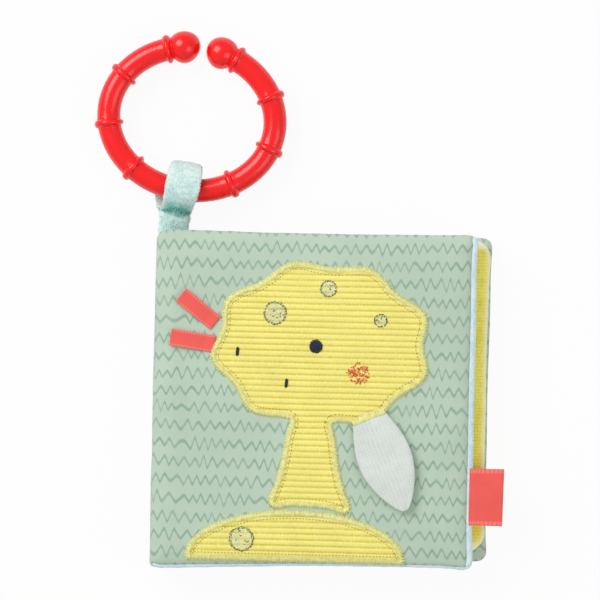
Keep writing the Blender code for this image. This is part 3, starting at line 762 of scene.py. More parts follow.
@dataclass
class Section:
    """One rounded cross-section of a swept piece.

    Attributes:
        centre: Its middle.
        across: The direction of its width, a unit vector.
        out: The direction of its thickness, a unit vector.
        half_width: Half its width.
        half_thick: Half its thickness.
        fullness: 1 for an ellipse, less for a squarer strap.
    """

    centre: Vector
    across: Vector
    out: Vector
    half_width: float
    half_thick: float
    fullness: float = 1.0

    def point(self, angle: float) -> Vector:
        """A point on its edge.

        Args:
            angle: The angle from its width direction.

        Returns:
            The point.
        """
        c, s = math.cos(angle), math.sin(angle)
        side = math.copysign(abs(c) ** self.fullness, c) * self.half_width
        rise = math.copysign(abs(s) ** self.fullness, s) * self.half_thick
        return self.centre + self.across * side + self.out * rise


def swept(sections: list[Section], sides: int) -> bmesh.types.BMesh:
    """Joins cross-sections into a skin, each one to the next, and closes its ends.

    Args:
        sections: The sections in order.
        sides: Points round each.

    Returns:
        The closed skin.
    """
    bm = bmesh.new()
    loops = []
    for section in sections:
        made = bmesh.ops.create_circle(bm, segments=sides, radius=1.0)["verts"]
        for index, vert in enumerate(made):
            vert.co = section.point(2 * math.pi * index / sides)
        loops.append(list(dict.fromkeys(edge for vert in made for edge in vert.link_edges)))
    for first, second in zip(loops, loops[1:]):
        bmesh.ops.bridge_loops(bm, edges=first + second)
    for loop in (loops[0], loops[-1]):
        bmesh.ops.contextual_create(bm, geom=loop)
    bmesh.ops.recalc_face_normals(bm, faces=bm.faces)
    return bm


@dataclass
class Studio:
    """Camera, lamps, floor and backdrop.

    Attributes:
        target: The point in the middle of the photograph.
        distance: From the camera to the target.
        tilt: How far the camera leans towards the open edge.
        roll: How far the book is turned clockwise in the picture.
        view_width: What the picture's width shows at the target.
    """

    target: tuple = (-7.1 * MM, 36.9 * MM, 20.4 * MM)
    distance: float = 2.5
    tilt: float = math.radians(5.0)
    roll: float = math.radians(1.35)
    view_width: float = 213.0 * MM

    def camera(self) -> None:
        """Places the camera at the photograph's viewing angle."""
        data = bpy.data.cameras.new("camera")
        data.sensor_width = 36.0
        data.lens = data.sensor_width * self.distance / self.view_width
        data.clip_start = 0.1
        data.clip_end = 20.0
        item = bpy.data.objects.new("camera", data)
        bpy.context.scene.collection.objects.link(item)
        back = Vector((math.tan(self.tilt), 0.0, 1.0)).normalized()
        up = Vector((-math.sin(self.roll), math.cos(self.roll), 0.0))
        right = up.cross(back).normalized()
        up = back.cross(right)
        turned = Matrix((right, up, back)).transposed().to_4x4()
        item.matrix_world = Matrix.Translation(Vector(self.target) + back * self.distance) @ turned
        bpy.context.scene.camera = item

    def lamp(self, name: str, place: tuple, size: float, power: float) -> None:
        """Hangs one square soft lamp that faces the book.

        Args:
            name: The lamp's name.
            place: Where it hangs.
            size: Its side.
            power: Its power in watts.
        """
        data = bpy.data.lights.new(name, "AREA")
        data.shape = "SQUARE"
        data.size = size
        data.energy = power
        item = bpy.data.objects.new(name, data)
        bpy.context.scene.collection.objects.link(item)
        item.location = place
        item.rotation_mode = "QUATERNION"
        item.rotation_quaternion = (Vector(place) - Vector(self.target)).to_track_quat("Z", "Y")

    def backdrop(self, graph_name: str, strength: float) -> bpy.types.Material:
        """A pale surface that looks white to the camera and in reflections, and still takes shadows.

        Args:
            graph_name: The material's name.
            strength: How much of the white is its own.

        Returns:
            The material.
        """
        graph = Graph(graph_name)
        graph.shade(Base_Color=(0.86, 0.86, 0.86), Roughness=0.9)
        path = graph.node("ShaderNodeLightPath", {}, {})
        seen = graph.math("MAXIMUM", path.outputs["Is Camera Ray"],
                          graph.math("MAXIMUM", path.outputs["Is Glossy Ray"],
                                     path.outputs["Is Transmission Ray"]))
        glow = graph.node("ShaderNodeEmission", {}, {"Color": (1.0, 1.0, 1.0), "Strength": 1.0})
        share = graph.times(seen, strength)
        mixed = graph.node("ShaderNodeMixShader", {}, {0: share, 1: graph.shader.outputs[0],
                                                       2: glow.outputs[0]})
        graph.feed(graph.tree.nodes["Material Output"].inputs["Surface"], mixed.outputs[0])
        return graph.material

    def build(self) -> None:
        """Builds the whole studio."""
        self.camera()
        self.lamp("key softbox", (-0.8, 0.75, 1.05), 0.9, 12.5)
        self.lamp("fill softbox", (0.95, -0.35, 1.1), 0.9, 4.0)
        bm = bmesh.new()
        bmesh.ops.create_grid(bm, x_segments=1, y_segments=1, size=3.0)
        bmesh.ops.translate(bm, verts=bm.verts, vec=(0.0, 0.0, -0.2 * MM))
        mesh = bpy.data.meshes.new("floor")
        bm.to_mesh(mesh)
        bm.free()
        mesh.materials.append(self.backdrop("pale floor", 0.93))
        floor = bpy.data.objects.new("floor", mesh)
        bpy.context.scene.collection.objects.link(floor)
        world = bpy.data.worlds.new("studio")
        bpy.context.scene.world = world
        world.use_nodes = True
        nodes, links = world.node_tree.nodes, world.node_tree.links
        background = nodes["Background"]
        background.inputs["Color"].default_value = (1.0, 1.0, 1.0, 1.0)
        path = nodes.new("ShaderNodeLightPath")
        lift = nodes.new("ShaderNodeMapRange")
        lift.inputs["To Min"].default_value = 0.5
        lift.inputs["To Max"].default_value = 1.0
        links.new(path.outputs["Is Camera Ray"], lift.inputs["Value"])
        links.new(lift.outputs["Result"], background.inputs["Strength"])
        bpy.context.scene.view_settings.view_transform = "Standard"
        log.info("studio: camera, two lamps and a pale floor")


@dataclass
class Cloth:
    """One cloth of a padded leaf.

    Attributes:
        node: The CAD node that it stands for.
        finish: What it is made of.
        slot: The record's material slot; not used.
        pile: How far its pile stands out.
    """

    node: str
    finish: Finish
    slot: str
    pile: float = 0.0


@dataclass
class Seam:
    """How many grid rings the lower cloth comes up over each edge.

    Attributes:
        left: Rings at the spine.
        right: Rings at the open edge.
        bottom: Rings at the lower edge.
        top: Rings at the upper edge.
    """

    left: int = 0
    right: int = 0
    bottom: int = 0
    top: int = 0


@dataclass
class PaddedLeaf:
    """A padded leaf: an upper and a lower cloth sewn together round wadding.

    Attributes:
        name: The leaf's name.
        body: The CAD body that it rides on.
        upper: The upper cloth.
        lower: The lower cloth.
        wadding: The CAD node of its wadding.
        corner: The radius of its corners.
        seam: Where the seam runs.
        stand_out: How far the open edge stands past the CAD's.
        swell_up: How far the upper face may swell past the CAD's.
        taper: How much narrower the top is than the bottom, on each side.
        rise: How far its upper edge stands past the CAD's, at the spine and at the open edge.
        foot: How far its lower edge is drawn up from the CAD's, at the same two sides.
        bow: How far the lower edge is drawn in between its corners.
        seed: Picks the leaf's own unevenness.
    """

    name: str
    body: str
    upper: Cloth
    lower: Cloth
    wadding: str
    corner: float
    seam: Seam = field(default_factory=Seam)
    stand_out: float = 0.0
    swell_up: float = 0.0
    taper: float = 0.0
    rise: tuple = (0.6 * MM, 1.1 * MM)
    foot: tuple = (0.6 * MM, 1.1 * MM)
    bow: float = 0.9 * MM
    seed: float = 1.0
    roll: float = 9.0 * MM
    rings: int = 8
    cells: int = 58
    groove: float = 0.38 * MM
    cloth: float = 0.5 * MM
    pressure: float = 4.0
    cap: float = 1.1 * MM
    sim_scale: float = 8.0
    surface: BVHTree = None

    def box(self) -> tuple[Vector, Vector]:
        """The leaf's CAD box, both cloths together."""
        low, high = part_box(self.lower.node)
        other_low, other_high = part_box(self.upper.node)
        return (Vector(map(min, low, other_low)), Vector(map(max, high, other_high)))

    def lines(self, length: float) -> list[float]:
        """Grid lines from edge to edge: close together on the rolled edge, even in between.

        Args:
            length: The leaf's side.

        Returns:
            The lines' distances from the middle.
        """
        rim = [self.roll * (1 - math.cos(math.pi / 2 * k / self.rings)) for k in range(self.rings + 1)]
        flat = self.cells - 2 * self.rings
        step = (length - 2 * self.roll) / flat
        middle = [self.roll + step * k for k in range(1, flat)]
        return [line - length / 2 for line in rim + middle + [length - r for r in reversed(rim)]]

    def arcs(self, length: float, half: float) -> list[float]:
        """The same lines as laid out flat on the cloth, for its map."""
        lines = self.lines(length)
        rises = [half * math.sin(math.pi / 2 * min(k, self.cells - k, self.rings) / self.rings)
                 for k in range(self.cells + 1)]
        run = [0.0]
        for k in range(self.cells):
            run.append(run[-1] + math.hypot(lines[k + 1] - lines[k], rises[k + 1] - rises[k]))
        return [r - run[-1] / 2 for r in run]

    def pillow(self) -> bmesh.types.BMesh:
        """The closed pillow before it is filled; faces of the lower cloth have material 1."""
        low, high = self.box()
        high.x += self.stand_out
        size = high - low
        half = size.z / 2 * 0.94
        xs, ys = self.lines(size.x), self.lines(size.y)
        us, vs = self.arcs(size.x, half), self.arcs(size.y, half)
        bm = bmesh.new()
        bmesh.ops.create_grid(bm, x_segments=self.cells, y_segments=self.cells, size=1.0)
        chart = bm.loops.layers.uv.new("cloth")
        rim = bm.verts.layers.float.new("rim")
        spots = {}
        for vert in bm.verts:
            spots[vert] = (round((vert.co.x + 1) / 2 * self.cells), round((vert.co.y + 1) / 2 * self.cells))
        for face in bm.faces:
            columns = [spots[vert][0] for vert in face.verts]
            rows = [spots[vert][1] for vert in face.verts]
            over = (min(rows) < self.seam.bottom or max(rows) > self.cells - self.seam.top
                    or min(columns) < self.seam.left or max(columns) > self.cells - self.seam.right)
            face.material_index = 1 if over else 0
            for loop in face.loops:
                column, row = spots[loop.vert]
                loop[chart].uv = (us[column], vs[row])
        for vert, (column, row) in spots.items():
            ring = min(column, row, self.cells - column, self.cells - row, self.rings)
            vert[rim] = max(1 - min(ring, 5) / 5, min((abs(ys[row]) * 2 / size.y - 0.93) / 0.04, 1.0))
            x, y = self.rounded(xs[column], ys[row], size, xs[ring] + size.x / 2)
            vert.co = (x, y, half * math.sin(math.pi / 2 * ring / self.rings))
        facing(bm)
        whole = list(bm.verts) + list(bm.edges) + list(bm.faces)
        twin = bmesh.ops.duplicate(bm, geom=whole)["geom"]
        lower_faces = [item for item in twin if isinstance(item, bmesh.types.BMFace)]
        bmesh.ops.scale(bm, vec=(1, 1, -1), verts=[v for v in twin if isinstance(v, bmesh.types.BMVert)])
        bmesh.ops.reverse_faces(bm, faces=lower_faces)
        for face in lower_faces:
            face.material_index = 1
        bmesh.ops.remove_doubles(bm, verts=[v for v in bm.verts if v.is_boundary], dist=0.01 * MM)
        centre = (low + high) / 2
        for vert in bm.verts:
            vert.co = self.soft(vert.co, size) + centre
        return bm

    def rounded(self, x: float, y: float, size: Vector, inset: float) -> tuple[float, float]:
        """Moves a grid point near a corner onto the arc of its ring."""
        over_x = abs(x) - (size.x / 2 - self.corner)
        over_y = abs(y) - (size.y / 2 - self.corner)
        radius = self.corner - inset
        if over_x <= 0 or over_y <= 0 or radius <= 0:
            return x, y
        stretch = radius / math.hypot(over_x, over_y)
        return (math.copysign(size.x / 2 - self.corner + over_x * stretch, x),
                math.copysign(size.y / 2 - self.corner + over_y * stretch, y))

    def soft(self, place: Vector, size: Vector) -> Vector:
        """Draws the sides in a little between the corners and makes them uneven."""
        u, v = place.x * 2 / size.x, place.y * 2 / size.y
        pull_x = 0.45 * MM * (1 - v * v) * max(u, 0.0) ** 3
        pull_y = (0.25 * MM if v > 0 else self.bow) * (1 - u * u) * v ** 3
        high = (self.rise[0] * (1 - u) + self.rise[1] * (1 + u)) / 2
        low = (self.foot[0] * (1 - u) + self.foot[1] * (1 + u)) / 2
        pull_y -= (low * (1 - v) + high * (1 + v)) / 2
        lean = self.taper * max(v, 0.0) * max(u, 0.0)
        uneven = wander(Vector((place.x, place.y, 0.0)), 34 * MM, self.seed) * 0.4 * MM
        edge = max(abs(u), abs(v)) ** 4
        return Vector((place.x - pull_x - lean + uneven * edge * u,
                       place.y - pull_y + uneven * edge * v, place.z))

    def fill(self, item: bpy.types.Object) -> None:
        """Fills the pillow by a cloth simulation with pressure and no gravity.

        Args:
            item: The pillow, whose points are moved in place.
        """
        bm = copied(item)
        bmesh.ops.scale(bm, vec=(self.sim_scale,) * 3, verts=bm.verts)
        mesh = bpy.data.meshes.new("filling")
        bm.to_mesh(mesh)
        bm.free()
        bag = bpy.data.objects.new("filling", mesh)
        bpy.context.scene.collection.objects.link(bag)
        cloth = bag.modifiers.new("filling", "CLOTH")
        cloth.settings.quality = 6
        cloth.settings.mass = 0.3
        cloth.settings.tension_stiffness = 18.0
        cloth.settings.compression_stiffness = 18.0
        cloth.settings.bending_stiffness = 0.6
        cloth.settings.use_pressure = True
        cloth.settings.uniform_pressure_force = self.pressure
        cloth.settings.effector_weights.gravity = 0.0
        scene = bpy.context.scene
        for step in range(1, 21):
            scene.frame_set(step)
        filled = applied(bag)
        low, high = self.box()
        for vert, moved in zip(item.data.vertices, filled.vertices):
            shift = moved.co / self.sim_scale - vert.co
            if vert.co.x < low.x + self.roll:
                shift.x = min(shift.x, 0.0)
            if shift.length > self.cap:
                shift = shift * (self.cap / shift.length)
            place = vert.co + shift
            place.z = min(max(place.z, low.z), high.z + self.swell_up)
            vert.co = place
        scene.frame_set(1)
        bpy.data.objects.remove(bag)
        bpy.data.meshes.remove(mesh)
        bpy.data.meshes.remove(filled)

    def sew(self, item: bpy.types.Object) -> None:
        """Draws the seam in and puckers the cloth beside it.

        Args:
            item: The filled pillow, already refined.
        """
        low, high = self.box()
        level = (low.z + high.z) / 2
        with opened(item) as bm:
            bm.normal_update()
            seam = {vert for vert in bm.verts if len({face.material_index for face in vert.link_faces}) > 1}
            normals = {vert: vert.normal.copy() for vert in bm.verts}
            self.pucker(seam, normals)
            for vert in bm.verts:
                if vert not in seam and all(face.material_index for face in vert.link_faces):
                    inset = min(high.x + self.stand_out - vert.co.x, vert.co.y - low.y - self.foot[0])
                    rolled = min(max(1.6 - inset / (2 * MM), 0.0), 1.0)
                    rolled *= 1.0 if vert.co.z > level - MM else 0.3
                    vert.co += normals[vert] * self.lower.pile * rolled
                vert.co.z = max(vert.co.z, low.z)

    def pucker(self, seam: set, normals: dict) -> None:
        """Sinks the seam and ripples the cloth beside it.

        Args:
            seam: The points on it.
            normals: The direction outward at every point.
        """
        rings, front = {vert: 0 for vert in seam}, seam
        for ring in range(1, 9):
            front = {edge.other_vert(vert) for vert in front for edge in vert.link_edges} - set(rings)
            rings.update({vert: ring for vert in front})
        for vert, ring in rings.items():
            ripple = wander(vert.co, 3.2 * MM, self.seed + 5) * 0.2 * MM * math.exp(-((ring - 3) / 3) ** 2)
            depth = self.groove * math.exp(-((ring / 1.6) ** 2))
            vert.co += normals[vert] * (ripple - depth)

    def cut(self, item: bpy.types.Object, number: int, cloth: Cloth) -> bpy.types.Object:
        """Takes one cloth out of the whole leaf.

        Args:
            item: The whole leaf.
            number: 0 for the upper cloth and 1 for the lower one.
            cloth: The cloth's facts.

        Returns:
            The piece.
        """
        bm = copied(item)
        bmesh.ops.delete(bm, geom=[f for f in bm.faces if f.material_index != number], context="FACES")
        for face in bm.faces:
            face.material_index = 0
        piece = stand(f"{cloth.node}_sewn", bm, cloth.finish)
        thicken(piece, self.cloth)
        declare(piece, cloth.node, self.body)
        return piece

    def stuff(self, item: bpy.types.Object) -> None:
        """Makes the wadding inside from the same pillow, drawn in on all sides.

        Args:
            item: The filled pillow before it is refined.
        """
        bm = copied(item)
        bm.normal_update()
        inward = {vert: vert.normal.copy() for vert in bm.verts}
        for vert, normal in inward.items():
            vert.co -= normal * (0.95 * MM + 0.1 * MM * wander(vert.co, 6 * MM, self.seed))
        for face in bm.faces:
            face.material_index = 0
        pad = stand(f"{self.wadding}_pad", bm, WHITE_WADDING)
        declare(pad, self.wadding, self.body)

    def build(self) -> None:
        """Builds the leaf's two cloths and its wadding."""
        item = stand(self.name, self.pillow(), self.upper.finish)
        item.data.materials.append(self.lower.finish.material())
        self.fill(item)
        self.stuff(item)
        refined(item, 1)
        self.sew(item)
        bm = copied(item)
        self.surface = BVHTree.FromBMesh(bm)
        bm.free()
        for number, cloth in enumerate((self.upper, self.lower)):
            self.cut(item, number, cloth)
        bpy.data.objects.remove(item)
        log.info("%s: two sewn cloths over wadding", self.name)

    def height(self, x: float, y: float) -> float:
        """The height of the leaf's upper face at a place."""
        hit, _, _, _ = self.surface.ray_cast(Vector((x, y, 0.1)), Vector((0, 0, -1)))
        return hit.z if hit else self.box()[1].z


@dataclass
class Spine:
    """The spine: printed cloth round the left side, its lining, wadding and the page's tape.

    Attributes:
        bulge: How far the cloth stands out between the covers.
        back_fold: The height of the back cover's fold.
        front_fold: The height of the front cover's fold.
        end_room: How far the strips inside end before the CAD's ends.
        tuck: How far the wrap's long edges lie inside the covers.
        end_inset: How far the wrap's ends lie inside the CAD's.
        end_corner: The radius at which they turn in.
        end_turn: How much cloth is turned in at each end.
        map_start: Where the wrap's map begins, left of the covers'.
    """

    bulge: float = 0.7 * MM
    back_fold: float = 3.3 * MM
    front_fold: float = 17.1 * MM
    cloth: float = 0.5 * MM
    end_room: float = 2.6 * MM
    tuck: float = 0.7 * MM
    end_inset: float = 1.2 * MM
    end_corner: float = 1.6 * MM
    end_turn: float = 3.4 * MM
    map_start: float = -63.0 * MM

    def wrap(self, name: str, low: float, high: float) -> bpy.types.Object:
        """One half of the cloth between the covers.

        Args:
            name: The piece's name.
            low: Where it begins.
            high: Where it ends.

        Returns:
            The piece.
        """
        bottom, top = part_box("spine_cloth")
        middle = (self.back_fold + self.front_fold) / 2
        reach = (self.front_fold - self.back_fold) / 2
        length = top.y - bottom.y - 2 * self.end_inset + 2 * self.end_turn
        begin = self.map_start - (low - self.back_fold)
        bm = mapped_grid(12, 150, lambda co: (begin - (high - low) * (0.5 - co.x), co.y * length))
        for vert in bm.verts:
            z = low + (high - low) * (vert.co.x + 0.5)
            inward, y = self.turned(vert.co.y * length, top.y - self.end_inset)
            swell = math.sqrt(max(0.0, 1 - ((z - middle) / (reach + 0.2 * MM)) ** 2))
            uneven = wander(Vector((0, y, z)), 15 * MM, 4.0) * 0.25 * MM
            out = (self.bulge + self.tuck + uneven) * swell
            vert.co = (bottom.x + self.tuck - out + inward, y, z)
        facing(bm, (-1.0, 0.0, 0.0))
        piece = declare(thicken(stand(name, bm, SAGE_COTTON), self.cloth))
        return piece

    def turned(self, run: float, end: float) -> tuple[float, float]:
        """Where the wrap lies along the spine, its ends turned in between the covers.

        Args:
            run: The distance along the cloth from its middle.
            end: Where the spine's end lies.

        Returns:
            How far it lies inward, and its place along the spine.
        """
        over = abs(run) - (end - self.end_corner)
        if over <= 0:
            return 0.0, run
        angle = min(over / self.end_corner, math.pi / 2)
        inward = self.end_corner * (1 - math.cos(angle)) + max(over - self.end_corner * math.pi / 2, 0.0)
        return inward, math.copysign(end - self.end_corner * (1 - math.sin(angle)), run)

    def slab(self, name: str, node: str, finish: Finish, ripple: float) -> bpy.types.Object:
        """A slightly uneven strip with rounded edges in the place of a CAD one.

        Args:
            name: The piece's name.
            node: The CAD node.
            finish: What it is made of.
            ripple: How uneven it is.

        Returns:
            The piece.
        """
        low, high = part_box(node)
        low.y += self.end_room
        high.y -= self.end_room
        size = high - low
        bm = bmesh.new()
        bmesh.ops.create_cube(bm, size=1.0)
        bmesh.ops.scale(bm, vec=size, verts=bm.verts)
        long_edges = [e for e in bm.edges if abs(e.verts[0].co.y - e.verts[1].co.y) > size.y / 2]
        bmesh.ops.subdivide_edges(bm, edges=long_edges, cuts=60, use_grid_fill=True)
        rim = [e for e in bm.edges if len(e.link_faces) == 2 and e.calc_face_angle(0.0) > 1.0]
        bmesh.ops.bevel(bm, geom=rim, offset=min(size.x, size.z) * 0.3, affect="EDGES", segments=2,
                        profile=0.5, material=-1)
        bmesh.ops.translate(bm, vec=(low + high) / 2, verts=bm.verts)
        for vert in bm.verts:
            vert.co.x += wander(vert.co, 11 * MM, 2.0) * ripple
        return declare(stand(name, bm, finish), node, "spine")

    def build(self) -> None:
        """Builds the wrap in two halves and everything inside it."""
        middle = (self.back_fold + self.front_fold) / 2
        lower = self.wrap("spine_wrap_lower", self.back_fold, middle)
        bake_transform(lower)
        upper = self.wrap("spine_wrap_upper", middle, self.front_fold)
        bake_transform(upper)
        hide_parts("spine_cloth")
        self.slab("spine_lining_sewn", "spine_lining", CREAM_CLOTH, 0.05 * MM)
        roll = self.slab("spine_wadding_roll", "spine_wadding", WHITE_WADDING, 0.03 * MM)
        self.slab("page_hinge_tape_sewn", "page_hinge_tape", CREAM_CLOTH, 0.0)
        log.info("spine: wrap in two halves, lining, wadding and the page's tape")


def smooth_outline(corners: list[Vector], steps: int = 6) -> list[Vector]:
    """A closed smooth curve through its corners.

    Args:
        corners: The points that it passes.
        steps: New points for each span.

    Returns:
        The outline.
    """
    return smooth_run(corners[-1:] + corners + corners[:2], steps)[steps:-steps - 1]


def even_steps(outline: list[Vector], pitch: float) -> list[Vector]:
    """Points at even distances round a closed outline.

    Args:
        outline: The outline.
        pitch: The distance wanted.

    Returns:
        The points.
    """
    loop = outline + outline[:1]
    runs = [(after - before).length for before, after in zip(loop, loop[1:])]
    total = sum(runs)
    count = max(3, round(total / pitch))
    points, span, gone = [], 0, 0.0
    for step in range(count):
        target = total * step / count
        while gone + runs[span] < target:
            gone += runs[span]
            span += 1
        points.append(loop[span].lerp(loop[span + 1], (target - gone) / runs[span]))
    return points


def inside(outline: list[Vector], x: float, y: float) -> bool:
    """True if a place lies inside a closed outline."""
    found = False
    before = outline[-1]
    for here in outline:
        if (here.y > y) != (before.y > y):
            cross = before.x + (y - before.y) / (here.y - before.y) * (here.x - before.x)
            if x < cross:
                found = not found
        before = here
    return found


@dataclass
class Applique:
    """A corduroy patch with its stitched edging, laid on the front cover.

    Attributes:
        node: The patch's CAD node.
        outline: Its outline in the frame's axes.
        cover: The leaf that it lies on.
        wale: From rib to rib.
        ridge: How high a rib stands.
        lift: How far the grooves stand above the cover.
        band: The width of the stitched edging.
        raw_edge: How far the cut edge lies outside the outline, under the stitches.
        seam_inset: How far the running seam lies inside the outline.
        pitch: From stitch to stitch.
        thread: The edging thread's radius.
        seed: Picks its own unevenness.
    """

    node: str
    outline: list[Vector]
    cover: PaddedLeaf
    wale: float = 2.1 * MM
    ridge: float = 0.42 * MM
    lift: float = 0.35 * MM
    band: float = 1.75 * MM
    raw_edge: float = 0.55 * MM
    seam_inset: float = 1.6 * MM
    pitch: float = 0.48 * MM
    thread: float = 0.245 * MM
    seed: int = 1

    def wale_height(self, x: float, y: float) -> float:
        """How high the rib is at a place, 0 in a groove and 1 on a crest."""
        drift = wander(Vector((x, y, 0)), 21 * MM, 9.0) * 0.2 * MM
        return abs(math.sin(math.pi * (y + drift) / self.wale)) ** 0.8

    def top(self, x: float, y: float) -> float:
        """The height of the patch's face at a place."""
        puff = 0.18 * MM * wander(Vector((x, y, 0)), 9 * MM, self.seed + 11)
        return self.cover.height(x, y) + self.lift + self.wale_height(x, y) * self.ridge + puff

    def patch(self) -> bpy.types.Object:
        """The ribbed patch, draped on the cover, its raw edge under the stitches."""
        points = even_steps(self.outline, 0.8 * MM)
        cut = [place + self.across(points, index) * self.raw_edge for index, place in enumerate(points)]
        low_x = min(p.x for p in self.outline) - MM
        high_x = max(p.x for p in self.outline) + MM
        low_y = min(p.y for p in self.outline) - MM
        high_y = max(p.y for p in self.outline) + MM
        columns = round((high_x - low_x) / (0.95 * MM))
        rows = round((high_y - low_y) / (self.wale / 6))
        bm = bmesh.new()
        bmesh.ops.create_grid(bm, x_segments=columns, y_segments=rows, size=0.5)
        wale = bm.verts.layers.float.new("wale")
        for vert in bm.verts:
            vert.co.x = (low_x + high_x) / 2 + vert.co.x * (high_x - low_x)
            vert.co.y = (low_y + high_y) / 2 + vert.co.y * (high_y - low_y)
        outer = [f for f in bm.faces if not inside(cut, *f.calc_center_median().xy)]
        bmesh.ops.delete(bm, geom=outer, context="FACES")
        for vert in bm.verts:
            vert[wale] = self.wale_height(vert.co.x, vert.co.y)
            vert.co.z = self.top(vert.co.x, vert.co.y)
            if vert.is_boundary:
                vert.co.z = self.cover.height(vert.co.x, vert.co.y) + 0.1 * MM
        facing(bm)
        piece = stand(f"{self.node}_corduroy", bm, YELLOW_CORDUROY)
        low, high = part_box(self.node)
        pairs = zip(self.outline, self.outline[1:] + self.outline[:1])
        area = sum((a.x * b.y - b.x * a.y) / 2 for a, b in pairs)
        declare(piece, self.node, "front_cover")
        return piece

    def across(self, points: list[Vector], index: int) -> Vector:
        """The direction out of the outline at one of its points."""
        run = points[(index + 1) % len(points)] - points[index - 1]
        return Vector((run.y, -run.x, 0)).normalized()

    def on_cover(self, place: Vector, rise: float) -> Vector:
        """A place moved down onto the cover and then up by a rise."""
        return Vector((place.x, place.y, self.cover.height(place.x, place.y) + rise))

    def edging(self) -> bpy.types.Object:
        """Close stitches back and forth across the patch's edge."""
        rng = random.Random(self.seed)
        points = even_steps(self.outline, self.pitch)
        run = []
        profile = ((-0.5, 0.75), (-0.2, 0.95), (0.15, 0.8), (0.5, 0.15))
        for index, place in enumerate(points):
            out = self.across(points, index)
            ahead = (points[(index + 1) % len(points)] - place) / 2
            wide = self.band * (1 + rng.uniform(-0.2, 0.2))
            slant = ahead * rng.uniform(-0.3, 0.3)
            way = profile if index % 2 == 0 else profile[::-1]
            for share, rise in way:
                spot = place + out * (share * wide + 0.25 * MM) + slant * (share + 0.5)
                run.append(self.on_cover(spot, rise * MM + rng.uniform(-0.03, 0.03) * MM))
        mesh = thread_mesh(f"{self.node}_edging_stitches", [run + run[:1]], self.thread)
        piece = link(mesh.name, mesh, STITCH_YELLOW)
        return declare(piece, f"{self.node}_edging", "front_cover")

    def seam(self) -> bpy.types.Object:
        """The running seam inside the edging, in a darker thread that sinks into the pile."""
        runs = []
        points = even_steps(self.outline, 0.6 * MM)
        for index in range(0, len(points), 2):
            after = (index + 1) % len(points)
            inner = points[index] - self.across(points, index) * self.seam_inset
            tip = points[index].lerp(points[after], 0.95) - self.across(points, after) * self.seam_inset
            ends = (inner, tip)
            runs.append([Vector((spot.x, spot.y, self.top(spot.x, spot.y) + 0.03 * MM)) for spot in ends])
        mesh = thread_mesh(f"{self.node}_running_seam", runs, 0.15 * MM)
        return declare(link(mesh.name, mesh, STITCH_OCHRE), body="front_cover")

    def build(self) -> None:
        """Builds the patch and its edging."""
        self.patch()
        self.edging()
        self.seam()
        log.info("%s: ribbed patch, stitched edging and running seam", self.node)


@dataclass
class TreeShape:
    """The outlines of the tree and the mound, the same as the CAD's.

    Attributes:
        cover_x: The middle of the front cover.
        crown: The middle of the crown, from the cover's.
        crown_half: Half the crown's width and height.
    """

    cover_x: float = -2.0 * MM
    crown: tuple = (3.0 * MM, 21.0 * MM)
    crown_half: tuple = (37.0 * MM, 28.0 * MM)
    lobes: int = 8
    lobe_share: float = 0.05
    trunk_half: float = 7.5 * MM
    trunk_flare: float = 6.0 * MM
    spans: int = 4
    hill_x: float = -5.0 * MM
    hill_half: float = 38.0 * MM
    hill_base: float = -55.0 * MM
    hill_height: float = 16.0 * MM
    foot_step: float = 3.8 * MM

    def crown_point(self, angle: float, share: float) -> Vector:
        """A point on the crown's oval, larger or smaller by a share."""
        return Vector((self.crown[0] + self.crown_half[0] * share * math.cos(angle),
                       self.crown[1] + self.crown_half[1] * share * math.sin(angle), 0))

    def trunk_angle(self, side: int) -> float:
        """Where a side of the trunk meets the crown."""
        return -math.acos((side * self.trunk_half - self.crown[0]) / self.crown_half[0])

    def foot(self, x: float) -> Vector:
        """A point of the trunk's foot, above the mound."""
        rise = self.hill_height * math.sqrt(1 - ((x - self.hill_x) / self.hill_half) ** 2)
        return Vector((x, self.hill_base + rise + self.foot_step, 0))

    def side(self, side: int, top: Vector) -> list[Vector]:
        """One side of the trunk, flaring on the way down."""
        foot = self.foot(side * (self.trunk_half + self.trunk_flare))
        points = []
        for span in range(1, self.spans + 1):
            share = span / self.spans
            x = side * (self.trunk_half + self.trunk_flare * share ** 2)
            points.append(Vector((x, top.y + (foot.y - top.y) * share, 0)))
        return points

    def placed(self, corners: list[Vector]) -> list[Vector]:
        """Corners smoothed and moved to the cover's middle."""
        return [point + Vector((self.cover_x, 0, 0)) for point in smooth_outline(corners)]

    def tree(self) -> list[Vector]:
        """Crown with its lobes, down the trunk, along the mound and up again."""
        first = self.trunk_angle(1)
        last = self.trunk_angle(-1) + 2 * math.pi
        spans = 2 * self.lobes
        corners = []
        for span in range(spans + 1):
            share = 1 + self.lobe_share if span % 2 else 1 - self.lobe_share
            corners.append(self.crown_point(first + (last - first) * span / spans, share))
        left = self.side(-1, corners[-1])
        right = self.side(1, corners[0])
        run = right[-1].x - left[-1].x
        foot = [self.foot(left[-1].x + run * step / self.spans) for step in range(1, self.spans)]
        return self.placed(corners + left + foot + right[::-1])

    def hill(self) -> list[Vector]:
        """The mound's arched top and straight base."""
        corners = []
        for span in range(13):
            angle = math.pi * span / 12
            corners.append(Vector((self.hill_x + self.hill_half * math.cos(angle),
                                   self.hill_base + self.hill_height * math.sin(angle), 0)))
        base = [Vector((self.hill_x + self.hill_half * share, self.hill_base, 0))
                for share in (-0.95, -0.5, 0.0, 0.5, 0.95)]
        return self.placed(corners + base)


